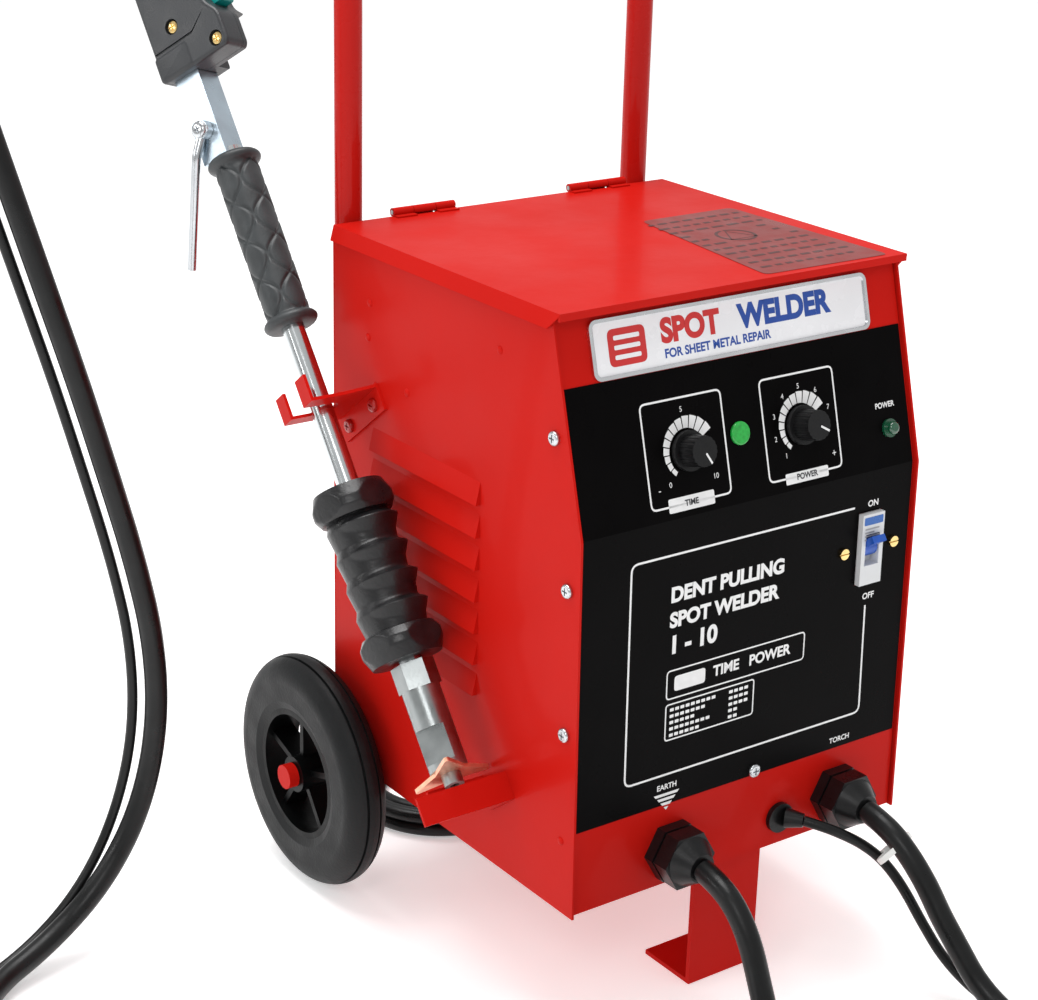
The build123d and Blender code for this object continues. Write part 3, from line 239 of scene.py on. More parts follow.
NODE_MATERIAL = {
    "axle": steel, "axle_caps": red, "back_panel": red, "base_tray": red, "board_shelf": galvanised,
    "body_hinge_leaves": red, "breaker_body": breaker_grey, "breaker_screws": brass,
    "breaker_toggle": breaker_blue, "cable_boots": nylon, "cable_glands": nylon,
    "case_screws": screw_zinc_and_shaded_red, "control_board": board, "control_pots": zinc,
    "core_brackets": galvanised, "earth_clamp": clamp_red, "foot_bracket": red, "front_panel": red,
    "green_lens": green, "gun_bar": zinc, "gun_fork": red, "gun_rest": red, "gun_screws": brass,
    "gun_shell_left": shell_black, "gun_shell_right": shell_black, "handle_bolts": zinc,
    "hinge_pins": steel, "left_knob": knob_black, "left_rim": rim_plastic, "left_side_panel": red,
    "left_tyre": tyre_rubber, "lid": red, "mains_plug": nylon, "name_plate": plate_rim,
    "nose_tube": steel, "panel_overlay": film, "pilot_lamp": lamp_green, "primary_coil": winding,
    "push_handle": red_tube, "right_knob": knob_black, "right_rim": rim_plastic,
    "right_side_panel": red, "right_tyre": tyre_rubber, "rubber_grip": soft_rubber,
    "secondary_coil": bus_copper, "slide_hammer": hammer_rubber, "slide_shaft": chromed,
    "star_tip": copper, "swing_hook": bright_zinc, "tip_screw": steel, "transformer_core": iron,
    "trigger": teal, "trigger_switch": nylon,
}
for name, mat in NODE_MATERIAL.items():
    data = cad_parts[name].data
    data.materials.clear()
    data.materials.append(mat)

# ------------------------------------------------------------------ making pieces


def piece(name, verts, faces, mat, body="trolley", smooth=True):
    """A mesh object of one material that rides on a body."""
    data = bpy.data.meshes.new(name)
    data.from_pydata([tuple(v) for v in verts], [], faces)
    data.materials.append(mat)
    obj = bpy.data.objects.new(name, data)
    bpy.context.scene.collection.objects.link(obj)
    if smooth:
        for polygon in data.polygons:
            polygon.use_smooth = True
    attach(obj, body)
    return obj


def settle(obj):
    """Make an object's modifiers permanent."""
    graph = bpy.context.evaluated_depsgraph_get()
    made = bpy.data.meshes.new_from_object(obj.evaluated_get(graph))
    old = obj.data
    obj.modifiers.clear()
    obj.data = made
    bpy.data.meshes.remove(old)
    return obj


def crisp(obj, angle=35):
    """Smooth shading, split at the sharp edges."""
    data = obj.data
    for polygon in data.polygons:
        polygon.use_smooth = True
    work = bmesh.new()
    work.from_mesh(data)
    for edge in work.edges:
        edge.smooth = not (len(edge.link_faces) == 2 and edge.calc_face_angle(0) > radians(angle))
    work.to_mesh(data)
    work.free()
    return obj


def bevelled(obj, width, segments=3, angle=30):
    """Round the edges that are sharper than an angle."""
    mod = obj.modifiers.new("bevel", "BEVEL")
    mod.width = width
    mod.segments = segments
    mod.limit_method = "ANGLE"
    mod.angle_limit = radians(angle)
    settle(obj)
    return crisp(obj, 50)


def cut(obj, cutters):
    """Take the cutters' shapes out of an object, and the cutters out of the scene."""
    for cutter in cutters:
        mod = obj.modifiers.new("cut", "BOOLEAN")
        mod.operation = "DIFFERENCE"
        mod.solver = "EXACT"
        mod.object = cutter
    settle(obj)
    for cutter in cutters:
        bpy.data.objects.remove(cutter)
    return obj


def frame_at(origin, along, hint=(0, 0, 1)):
    """A matrix with its Z along a direction."""
    z = Vector(along).normalized()
    hint = Vector(hint)
    if abs(z.dot(hint.normalized())) > 0.98:
        hint = Vector((1, 0, 0))
    x = (hint - z * hint.dot(z)).normalized()
    y = z.cross(x)
    m = Matrix((x, y, z)).transposed().to_4x4()
    m.translation = Vector(origin)
    return m


def lathe(name, profile, at, mat, body="trolley", steps=64, wobble=None, angle=35):
    """A profile of (radius, distance) pairs turned about a matrix's Z."""
    verts, faces = [], []
    count = len(profile)
    for i in range(steps):
        turn = 2 * pi * i / steps
        for radius, distance in profile:
            r = radius if wobble is None else wobble(turn, distance, radius)
            verts.append(at @ Vector((r * cos(turn), r * sin(turn), distance)))
    for i in range(steps):
        a, b = i * count, ((i + 1) % steps) * count
        for j in range(count - 1):
            faces.append((a + j, b + j, b + j + 1, a + j + 1))
    return crisp(piece(name, verts, faces, mat, body), angle)


def circle(radius, angle_count):
    """Points of a circle about the origin."""
    angles = [2 * pi * k / angle_count for k in range(angle_count)]
    return [(radius * cos(a), radius * sin(a)) for a in angles]


def ring_faces(rows, columns):
    """Faces between successive rings of vertices."""
    faces = []
    for i in range(rows):
        for k in range(columns):
            a, b = i * columns + k, i * columns + (k + 1) % columns
            faces.append((a, b, b + columns, a + columns))
    return faces


def rounded(points, radius, steps=5):
    """A closed outline with its corners rounded."""
    out = []
    count = len(points)
    for i in range(count):
        p, a, b = (Vector(points[k % count]) for k in (i, i - 1, i + 1))
        to_a, to_b = a - p, b - p
        reach = min(radius, 0.45 * to_a.length, 0.45 * to_b.length)
        p1, p2 = p + to_a.normalized() * reach, p + to_b.normalized() * reach
        for k in range(steps + 1):
            t = k / steps
            out.append(p1 * (1 - t) ** 2 + p * 2 * t * (1 - t) + p2 * t * t)
    return out


def slab(name, outline, low, high, place, mat, body="trolley", bevel=0.0, segments=3):
    """A flat outline given thickness; place(u, v, h) puts a point of it in the frame."""
    count = len(outline)
    verts = [place(p[0], p[1], low) for p in outline] + [place(p[0], p[1], high) for p in outline]
    faces = [tuple(range(count))[::-1], tuple(range(count, 2 * count))]
    faces += [(i, (i + 1) % count, count + (i + 1) % count, count + i) for i in range(count)]
    obj = piece(name, verts, faces, mat, body, smooth=False)
    work = bmesh.new()
    work.from_mesh(obj.data)
    bmesh.ops.recalc_face_normals(work, faces=work.faces)
    work.to_mesh(obj.data)
    work.free()
    if bevel:
        return bevelled(obj, bevel, segments)
    return crisp(obj)


def join(name, parts):
    """One object out of several that ride on the same body."""
    first = parts[0]
    with bpy.context.temp_override(
        active_object=first, object=first, selected_objects=parts, selected_editable_objects=parts
    ):
        bpy.ops.object.join()
    first.name = name
    return first


# ------------------------------------------------------------------ cords


def nurbs(name, points, radius=0.0):
    """An open spline through a cord's route, its points in millimetres."""
    data = bpy.data.curves.new(name, "CURVE")
    data.dimensions = "3D"
    data.resolution_u = 12
    data.bevel_depth = radius * MM
    data.bevel_resolution = 6
    data.use_fill_caps = radius > 0
    spline = data.splines.new("NURBS")
    spline.points.add(len(points) - 1)
    for point, p in zip(spline.points, points):
        point.co = (p[0] * MM, p[1] * MM, p[2] * MM, 1)
    spline.order_u = 3
    spline.use_endpoint_u = True
    obj = bpy.data.objects.new(name, data)
    bpy.context.scene.collection.objects.link(obj)
    return obj


def route_of(points):
    """Points read along the smooth line of a route."""
    guide = nurbs("guide", points)
    made = bpy.data.meshes.new_from_object(guide)
    line = [v.co.copy() for v in made.vertices]
    bpy.data.meshes.remove(made)
    bpy.data.objects.remove(guide)
    return line


def frames_along(line):
    """A matrix at each point of a line, turned as little as possible from one to the next."""
    out = []
    side = None
    for i, p in enumerate(line):
        along = (line[min(i + 1, len(line) - 1)] - line[max(i - 1, 0)]).normalized()
        if side is None:
            side = along.orthogonal().normalized()
        side = (side - along * side.dot(along)).normalized()
        m = Matrix((side, along.cross(side), along)).transposed().to_4x4()
        m.translation = p
        out.append(m)
    return out


def tube(name, line, radius, mat, sides=16):
    verts = [m @ Vector((x, y, 0)) for m in frames_along(line) for x, y in circle(radius, sides)]
    faces = ring_faces(len(line) - 1, sides)
    faces.append(tuple(range(sides))[::-1])
    faces.append(tuple((len(line) - 1) * sides + k for k in range(sides)))
    data = bpy.data.meshes.new(name)
    data.from_pydata([tuple(v) for v in verts], [], faces)
    data.materials.append(mat)
    obj = bpy.data.objects.new(name, data)
    bpy.context.scene.collection.objects.link(obj)
    return crisp(obj, 60)


TORCH = [
    (76, -59.7, 107.2), (76.5, -76, 104.5), (79, -92, 94), (83.5, -106, 77), (87.5, -116, 59), (91, -126, 45),
    (97, -143, 21), (101, -168, 9), (98, -204, 7.4), (74, -236, 7.4), (37, -243, 7.3), (5, -219, 7.3),
    (-13, -176, 7.3), (-32, -131, 7.3), (-69, -95, 7.3), (-116, -72, 7.3), (-165, -55, 7.3), (-216, -34, 7.3),
    (-268, -8, 7.3), (-322, 20, 7.3), (-374, 52, 7.3), (-414, 98, 7.3), (-419, 152, 7.3), (-386, 196, 7.6),
    (-342, 210, 17), (-303, 216, 42), (-274, 219, 82), (-259, 220, 134), (-258, 221, 192), (-268, 224, 250),
    (-281, 229, 306), (-294.5, 234, 362), (-309, 241, 418), (-323, 249, 474), (-335, 261, 528), (-341, 281,
                                                                                                 582),
    (-337, 312, 632), (-318, 352, 671), (-284, 394, 696), (-241, 430, 703), (-199, 452, 695), (-170, 454,
                                                                                               677),
    (-157, 441.5, 655),
]
CONTROL = [
    (40.6, -42.3, 103), (48, -51, 101), (58, -58.5, 96), (69, -65, 89), (78, -74, 80), (85, -86, 65), (91,
                                                                                                       -99,
                                                                                                       44),
    (97, -114, 24), (105, -136, 8.5), (112, -165, 3.6), (111, -205, 3.6), (84, -247, 3.6), (34, -256, 3.6),
    (-6, -226, 3.6), (-25, -181, 3.6), (-43, -139, 3.6), (-77, -106, 3.6), (-121, -84, 3.6), (-170, -67, 3.6),
    (-222, -46, 3.6), (-274, -18, 3.6), (-328, 10, 3.6), (-382, 43, 3.6), (-425, 93, 3.6), (-430.5, 156, 3.6),
    (-394, 205, 5), (-347, 220, 14), (-311, 226, 40), (-285, 229, 81), (-270, 230, 134), (-269, 231, 192),
    (-279, 234, 250), (-292, 239, 306), (-305.5, 244, 362), (-320, 251, 418), (-334, 259, 474), (-346.5, 271,
                                                                                                 530),
    (-352, 292, 587), (-347, 322, 640), (-325, 362, 681), (-288, 406, 707), (-243, 443, 714), (-195, 466,
                                                                                               703),
    (-164, 466, 681), (-150, 449, 660),
]
GROUND_LEAD = [
    (-54, -59.7, 107), (-54, -75.5, 104.5), (-53.5, -91, 95), (-53, -103, 79), (-53, -112, 59), (-54, -123,
                                                                                                 38),
    (-55, -138, 20), (-58.5, -161, 10), (-63, -187, 7.6),
]
GROUND_TAIL = [
    (-172, -288, 51), (-205, -287, 42), (-237, -283, 25), (-265, -280, 13), (-290, -281, 10),
]
MAINS_LEAD = [
    (62, 261, 118), (62.5, 279, 115), (63, 293, 103), (62, 301, 85), (60, 304, 63), (56, 304, 42), (50, 300,
                                                                                                    24),
    (45, 289, 10), (42, 276, 5),
]


def along_list(values, t):
    """The value at a fraction of the way along a list."""
    k = t * (len(values) - 1)
    j = min(int(k), len(values) - 2)
    return values[j] + (values[j + 1] - values[j]) * (k - j)


def turns(centre, start, end, radii, heights, per_turn=16):
    """Points of a coil wound clockwise, seen from above, from one angle to another."""
    count = int(round(abs(start - end) / 360 * per_turn))
    out = []
    for i in range(count + 1):
        t = i / count
        radius, height = along_list(radii, t), along_list(heights, t)
        angle = radians(start + (end - start) * t)
        radius /= cos(pi / per_turn) ** 0.5
        out.append((centre[0] + radius * cos(angle), centre[1] + radius * sin(angle), height))
    return out


GROUND_COIL_AT, MAINS_COIL_AT = (-140, -212), (-18, 265)

torch_line = route_of(TORCH)
torch = tube("torch_cable_tube", torch_line, 7 * MM, sheath)
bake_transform(torch)
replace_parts(torch, "torch_cable")
control_line = route_of(CONTROL)
control = tube("control_cable_tube", control_line, 3.25 * MM, sheath, sides=12)
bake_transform(control)
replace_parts(control, "control_cable")

ground_route = (
    GROUND_LEAD
    + turns(GROUND_COIL_AT, 0, -1170, [75, 75, 74, 76, 75], [7.2, 7.6, 22, 37, 52.4])
    + GROUND_TAIL
)
ground = nurbs("ground_cable_run", ground_route, 7)
ground.data.materials.append(sheath)
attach(ground, "trolley")
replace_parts(ground, "ground_cable", "ground_coil", "ground_tail")
ground_line = route_of(ground_route)

mains_route = (
    MAINS_LEAD
    + turns(MAINS_COIL_AT, 0, -990, [59, 59, 50, 41], [4.7, 4.6, 4.6, 4.7])
    + turns(MAINS_COIL_AT, -1012.5, -2070, [41, 50, 59, 59], [12, 13.6, 13.6, 13.5])
    + [(-4, 324, 13.5), (20, 324, 13.5), (40, 324, 13.5)]
)
mains = nurbs("mains_cable_run", mains_route, 4.5)
mains.data.materials.append(sheath)
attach(mains, "trolley")
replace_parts(mains, "mains_cable", "mains_coil")
mains_line = route_of(mains_route)

# ------------------------------------------------------------------ printing on the front

FRONT_Y, KINK_Z, BASE_Z = -29.5, 314.0, 84.0
LOW_SLOPE, HIGH_SLOPE = 4.0 / 230.0, 0.272


def on_front(x, z, height=0.62):
    """A point standing off the front panel, in metres, from panel coordinates in millimetres."""
    if z < KINK_Z:
        y, slope = FRONT_Y + LOW_SLOPE * (z - BASE_Z), LOW_SLOPE
    else:
        y, slope = FRONT_Y + 4.0 + HIGH_SLOPE * (z - KINK_Z), HIGH_SLOPE
    n = Vector((0, -1, slope)).normalized()
    return (Vector((x, y, z)) + n * height) * MM


def bar(x0, z0, x1, z1, radius=0.8):
    """The outline of a bar with rounded ends."""
    return rounded([(x0, z0), (x1, z0), (x1, z1), (x0, z1)], radius, 3)


class Print:
    """Flat marks of one ink, gathered into one piece."""

    def __init__(self, place):
        self.place, self.verts, self.faces = place, [], []

    def shape(self, outline):
        first = len(self.verts)
        self.verts += [self.place(p[0], p[1]) for p in outline]
        self.faces.append(tuple(range(first, first + len(outline))))

    def stroke(self, path, width, closed=False):
        points = [Vector(p) for p in path]
        count = len(points)
        left, other = [], []
        for i, p in enumerate(points):
            a = points[i - 1] if closed or i else p
            b = points[(i + 1) % count] if closed or i < count - 1 else p
            along = ((p - a).normalized() + (b - p).normalized()).normalized()
            across = Vector((-along.y, along.x)) * width / 2
            left.append(p + across)
            other.append(p - across)
        for i in range(count if closed else count - 1):
            j = (i + 1) % count
            self.shape([other[i], other[j], left[j], left[i]])

    def text(self, words, x, z, size, align="CENTER", bold=0.0):
        data = bpy.data.curves.new("lettering", "FONT")
        data.body = words
        data.size = size
        data.align_x = align
        data.align_y = "CENTER"
        data.offset = bold
        holder = bpy.data.objects.new("lettering", data)
        bpy.context.scene.collection.objects.link(holder)
        made = bpy.data.meshes.new_from_object(holder)
        first = len(self.verts)
        self.verts += [self.place(x + v.co.x, z + v.co.y) for v in made.vertices]
        self.faces += [tuple(first + i for i in p.vertices) for p in made.polygons]
        bpy.data.meshes.remove(made)
        bpy.data.objects.remove(holder)

    def made(self, name, mat, slot, body="trolley"):
        return piece(name, self.verts, self.faces, mat, body, smooth=False)


def arc_band(cx, cz, r0, r1, a0, a1, steps=5):
    """A ring segment; angles are clockwise from straight up."""
    out = []
    for r, first, last in ((r1, a0, a1), (r0, a1, a0)):
        angles = [radians(first + (last - first) * k / steps) for k in range(steps + 1)]
        out += [(cx + r * sin(a), cz + r * cos(a)) for a in angles]
    return out


# How far each layer of printing stands off the panel, in millimetres.
ON_INK, KNOB_FACE, PLATE, ON_PLATE, ON_PLATE_INK, BREAKER_FACE = 0.68, 16.3, 1.3, 1.36, 1.42, 4.1
LEFT_KNOB_X, RIGHT_KNOB_X, KNOB_Z = -46, 39, 349


def layer(height):
    return lambda x, z: on_front(x, z, height)


white = Print(on_front)
black_marks = Print(layer(ON_INK))
outline = rounded([(92, 238), (93, 157), (-90, 157), (-90, 293), (78, 293)], 5, 5)[6:-6]
white.stroke([(92, 228)] + outline + [(78, 293)], 1.3)
DIALS = (
    # middle, frame from and to, dial numbers and their span, label and its top and middle
    (LEFT_KNOB_X, -75.5, -18, ("0", "5", "10"), 270, 1.5, "TIME", 325.2, 321.2),
    (RIGHT_KNOB_X, 11, 67, ("1", "2", "3", "4", "5", "6", "7"), 210, 0, "POWER", 323.6, 320.6),
)
WEDGES = 12
for cx, x0, x1, marks, span, further, label, label_top, label_z in DIALS:
    white.stroke(rounded([(x0, 321), (x1, 321), (x1, 378), (x0, 378)], 3.5, 4), 1.1, True)
    for k in range(WEDGES):
        a0 = -140 + k * 17.0
        thick = 2.6 + 5.4 * k / (WEDGES - 1)
        white.shape(arc_band(cx, KNOB_Z - 0.5, 12.8, 12.8 + thick, a0, a0 + 14.6, 3))
    for k, mark in enumerate(marks):
        angle = radians(-138 + k * span / (len(marks) - 1))
        reach = 20 + 3.2 * k / (len(marks) - 1) + further
        white.text(mark, cx + reach * sin(angle), KNOB_Z - 0.5 + reach * cos(angle), 4.2)
    white.shape(bar(x0 + 12, 317.4, x0 + 45, label_top, 1))
    black_marks.text(label, x0 + 28.5, label_z, 4.6, bold=0.15)
white.text("+", 62, 329, 6)
white.text("-", -68.5, 331, 6)
white.text("POWER", 105.5, 349.5, 4.4, bold=0.12)
white.text("TORCH", 78, 142.8, 4.8, bold=0.12)
white.text("EARTH", -58.5, 149, 4.8, bold=0.12)
for k in range(4):
    white.shape([(-68 + k * 2.6, 145 - k * 3), (-49 - k * 2.6, 145 - k * 3), (-50.4 - k * 2.6, 143.2 - k * 3),
                 (-66.6 + k * 2.6, 143.2 - k * 3)])
white.text("ON", 93, 293.4, 5.4, bold=0.15)
white.text("OFF", 94, 233.8, 5.4, bold=0.15)
white.text("DENT PULLING", -61, 268.2, 12.4, "LEFT", bold=0.55)
white.text("SPOT WELDER", -61, 252.8, 12.4, "LEFT", bold=0.55)
white.text("1 - 10", -61, 237.4, 15.0, "LEFT", bold=0.6)
white.stroke(rounded([(-61.5, 204.5), (43.5, 204.5), (43.5, 222), (-61.5, 222)], 2.5, 4), 0.9, True)
white.shape(bar(-56, 208.6, -33, 218, 2))
white.text("TIME   POWER", -27, 213.6, 9.2, "LEFT", bold=0.3)
white.stroke(rounded([(-61.5, 178.6), (5, 178.6), (5, 201), (-61.5, 201)], 2.0, 4), 0.9, True)
for row in range(5):
    z = 197.4 - row * 4.0
    for k in range(9 - (row * 2) % 5):
        white.shape(bar(-58.5 + k * 3.9, z - 1.0, -55.6 + k * 3.9, z + 1.0, 0.4))
    for k in range(4 if row < 3 else 2):
        white.shape(bar(-14 + k * 3.9, z - 1.0, -11.1 + k * 3.9, z + 1.0, 0.4))
white.made("front_lettering", ink, "overlay")
black_marks.made("label_lettering", dark_ink, "overlay")

for cx, angle, knob in ((LEFT_KNOB_X, -150, "left_knob"), (RIGHT_KNOB_X, -120, "right_knob")):
    pointer = Print(layer(KNOB_FACE))
    middle = Vector((cx, KNOB_Z))
    heading = Vector((-sin(radians(angle)), cos(radians(angle))))
    pointer.stroke([middle + heading * 1.5, middle + heading * 8.4], 1.2)
    pointer.made(f"{knob}_pointer", ink, "overlay", knob)

plate = Print(layer(PLATE))
plate.shape(rounded([(-101, 396.6), (97, 396.6), (97, 424.8), (-101, 424.8)], 3, 5))
plate.made("plate_face", plate_white, "plate")
art_red = Print(layer(ON_PLATE))
art_red.shape(rounded([(-92, 400.5), (-66, 400.5), (-66, 420.5), (-92, 420.5)], 4, 5))
art_red.text("SPOT", -55, 414.0, 17.5, "LEFT", bold=0.9)
art_blue = Print(layer(ON_PLATE))
art_blue.text("WELDER", 1.5, 414.0, 17.5, "LEFT", bold=0.9)
art_blue.text("FOR SHEET METAL REPAIR", -54, 402.2, 6.6, "LEFT", bold=0.22)
art_mark = Print(layer(ON_PLATE_INK))
for k in range(3):
    art_mark.shape(bar(-88, 404.0 + k * 5.2, -70, 406.4 + k * 5.2, 0.9))
art_mark.made("plate_mark", plate_white, "plate")
art_red.made("plate_art_red", material("red_ink", (0.55, 0.02, 0.02), 0.35, tint=0.05), "plate")
art_blue.made("plate_art_blue", blue_ink, "plate")

nose = Print(layer(BREAKER_FACE))
nose.shape(bar(83.6, 281.4, 98.8, 286.4, 0.8))
nose.made("breaker_band", material("band_ink", (0.01, 0.11, 0.42), 0.35), "breaker")
nose_grey = Print(layer(BREAKER_FACE))
for k in range(4):
    nose_grey.shape(bar(84.5, 278.4 - k * 2.2, 96 - (k % 2) * 4, 279.4 - k * 2.2, 0.3))
nose_grey.made("breaker_marks", grey_ink, "breaker")

LID_FILM_Z, LID_INK_Z = 436.25, 436.32
lid_film = Print(lambda x, y: Vector((x, y, LID_FILM_Z)) * MM)
lid_film.shape(rounded([(22, 3), (116, 1), (112, 138), (40, 138)], 5, 4))
lid_film.made("lid_film", material("lid_film", (0.20, 0.010, 0.007), 0.35, tint=0.08, tint_scale=30), "red",
              "lid")
lid_marks = Print(lambda x, y: Vector((x, y, LID_INK_Z)) * MM)
for row in range(11):
    y = 126 - row * 11
    x = 36 + row * -0.6
    while x < 104:
        width = 4 + (row * 7 + int(x) * 3) % 6
        beside_the_ring = not (2 < row < 6 and 42 < x < 92)
        if beside_the_ring:
            lid_marks.shape(bar(x, y - 1.5, min(x + width, 108), y + 1.5, 0.5))
        x += width + 3
lid_marks.shape(arc_band(68, 82, 11, 13, 0, 350, 30))
lid_marks.stroke([(58, 74), (68, 92), (78, 74)], 1.6, True)
lid_marks.made("lid_marks", material("lid_marks", (0.055, 0.006, 0.005), 0.4), "red", "lid")

# ------------------------------------------------------------------ small things on the case

RIVETS = ((185, 397), (187, 375), (51, 402.5), (179, 346.6), (144, 352), (-19, 129.5))
domes = [((side * 127, y, z), (side, 0, 0)) for side in (-1, 1) for y, z in RIVETS]
DOME = [(2.6 * cos(radians(a)), 1.1 * sin(radians(a))) for a in (0, 20, 40, 60, 75)] + [(0.01, 1.1)]
join("painted_rivets", [
    lathe("rivet", [(r * MM, h * MM) for r, h in DOME], frame_at(Vector(p) * MM, d), red,
          steps=14, angle=80)
    for p, d in domes
])
beads = []
for sx in (-1, 1):
    for z, length in ((171, 26), (330, 20), (230, 18)):
        m = frame_at(Vector((sx * 104.5, 227.1, z)) * MM, (0, 0, 1), (1, 0, 0))
        swell = [(0.01 * MM, 0), (1.4 * MM, 1 * MM), (1.7 * MM, length / 2 * MM),
                 (1.4 * MM, (length - 1) * MM),
                 (0.01 * MM, length * MM)]
        beads.append(lathe("bead", swell, m, red, steps=10,
                           wobble=lambda a, d, r: r * (1 + 0.16 * sin(d * 2600)), angle=80))
join("weld_beads", beads)

tie_at = Vector((78.6, -82.5, 91.5)) * MM
tie_along = Vector((6, -13, -12))
tie_m = frame_at(tie_at, tie_along, (1, 0, 0.3))
tie_verts, tie_faces = [], []
TIE_STEPS, TIE_HALF_W, TIE_HALF_H, TIE_T, TIE_HALF_LEN = 40, 12.6, 8.2, 1.3, 1.8
for k in range(TIE_STEPS):
    a = 2 * pi * k / TIE_STEPS
    for dr, dz in ((0, -TIE_HALF_LEN), (TIE_T, -TIE_HALF_LEN), (TIE_T, TIE_HALF_LEN), (0, TIE_HALF_LEN)):
        tie_verts.append(tie_m @ (Vector(((TIE_HALF_W + dr) * cos(a), (TIE_HALF_H + dr) * sin(a), dz)) * MM))
for k in range(TIE_STEPS):
    for j in range(4):
        a, b = k * 4, ((k + 1) % TIE_STEPS) * 4
        tie_faces.append((a + j, a + (j + 1) % 4, b + (j + 1) % 4, b + j))
tie = crisp(piece("cable_tie", tie_verts, tie_faces, white_nylon, "trolley"))
tie_head = slab("tie_head", rounded([(-3, -2.6), (3, -2.6), (3, 2.6), (-3, 2.6)], 0.8), -3.2, 3.2,
                lambda u, v, h: tie_m @ (Vector((u, -10.4 + v, h)) * MM), white_nylon, "trolley",
                0.3 * MM, 2)
join("cable_tie", [tie, tie_head])

# ------------------------------------------------------------------ the welding gun

GUN = Vector((-154.0, 54.9, 150.7))
LEAN, ROLL = radians(38), radians(26)
G_UP = Vector((0, sin(LEAN), cos(LEAN)))
G_AHEAD = Vector((0, -cos(LEAN), sin(LEAN)))
G_TRIGGER = G_AHEAD * cos(ROLL) + Vector((1, 0, 0)) * sin(ROLL)
G_SIDE = -G_AHEAD * sin(ROLL) + Vector((1, 0, 0)) * cos(ROLL)


def gun_point(s, r=0.0, y=0.0):
    """A point of the gun: along its axis, towards its trigger, and towards the cabinet."""
    return (GUN + G_UP * s + G_TRIGGER * r + G_SIDE * y) * MM


gun_m = Matrix((G_AHEAD, Vector((1, 0, 0)), G_UP)).transposed().to_4x4()
gun_m.translation = GUN * MM


def bumpy(name, low, high, rows, columns, radius, mat, body, node, bore, angle, shift=(0, 0)):
    """A sleeve whose outer radius is a function of the distance along it and the angle, in millimetres."""
    verts = []
    for i in range(rows + 1):
        s = low + (high - low) * i / rows
        for k in range(columns):
            a = 2 * pi * k / columns
            r = radius(s, a)
            verts.append(gun_m @ (Vector((shift[0] + r * cos(a), shift[1] + r * sin(a), s)) * MM))
    faces = ring_faces(rows, columns)
    for s, row, flip in ((low, 0, True), (high, rows, False)):
        first = len(verts)
        verts += [gun_m @ (Vector((x, y, s)) * MM) for x, y in circle(bore, columns)]
        for k in range(columns):
            j = (k + 1) % columns
            quad = (row * columns + k, row * columns + j, first + j, first + k)
            faces.append(quad[::-1] if flip else quad)
    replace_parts(crisp(piece(name, verts, faces, mat, body), angle), node)


def wrap(a):
    """An angle brought to between half a turn back and half a turn on."""
    return (a + pi) % (2 * pi) - pi


GRIP_LOW, GRIP_HIGH, GRIP_R, GRIP_PITCH = 284.5, 399.0, 13.5, 52.0


def grip_radius(s, a):
    """Distance of the grip's surface from the shaft: a flange at each end, leaf-shaped grooves between."""
    t = s - GRIP_LOW
    length = GRIP_HIGH - GRIP_LOW
    end = min(t, length - t)
    if end < 6.5:
        return 14.2 + 2.8 * (1 - (abs(end - 3) / 3.6) ** 2) if end < 6.4 else 13.9
    base = GRIP_R - 0.35 * exp(-((end - 8) / 2.0) ** 2)
    nearest = 9.0
    phase = 2 * pi * (t - 5) / GRIP_PITCH
    for k in range(4):
        for sign in (-1, 1):
            centre = pi * k / 2 + 0.3 + sign * 0.75 * sin(phase)
            slope = abs(0.75 * cos(phase)) * GRIP_R * 2 * pi / GRIP_PITCH
            nearest = min(nearest, abs(wrap(a - centre)) * GRIP_R / hypot(1, slope))
    groove = exp(-((nearest / 0.95) ** 2))
    return base + 0.35 - 1.15 * groove


bumpy("grip_sleeve", GRIP_LOW, GRIP_HIGH, 150, 132, grip_radius, soft_rubber, "gun", "rubber_grip", 7.05, 80)

HAMMER_LOW, HAMMER_HIGH, HAMMER_R = 68.0, 177.0, 25.0


def hammer_radius(s, a):
    """Distance of the hammer's surface from its own middle line; angles run from the gun's front side."""
    t = (s - HAMMER_LOW) / (HAMMER_HIGH - HAMMER_LOW)
    turn = wrap(a - 0.25)
    front = max(0.0, cos(turn))
    if t < 0.17 or t > 0.83:
        near = min(t, 1 - t) / 0.17
        square = 22.4 / max(abs(cos(turn)), abs(sin(turn))) ** 0.75
        chamfer = 21.6 + 3.4 * min(1.0, near * 2.2)
        waist = HAMMER_R - 3.2 * max(0.0, near - 0.72) / 0.28
        return min(HAMMER_R, square, chamfer, waist)
    u = (t - 0.17) / 0.66 * 4
    k = u - int(u)
    crest = min(k / 0.72, (1 - k) / 0.28)
    ridge = 17.0 + 2.6 * crest + 5.4 * crest * front ** 0.8
    facet = 19.8 + 5.2 * crest
    flank = facet / max(abs(cos(turn)), abs(sin(turn)) * 1.02) ** 0.5
    back = 21.2 + 1.4 * crest
    limit = back if cos(turn) < -0.1 else HAMMER_R
    return min(max(ridge, 19.0 + 2.0 * crest), flank, limit, HAMMER_R)


bumpy("hammer_sleeve", HAMMER_LOW, HAMMER_HIGH, 150, 120, hammer_radius, hammer_rubber, "hammer",
      "slide_hammer", 7.1, 34, shift=(2.0, -3.0))

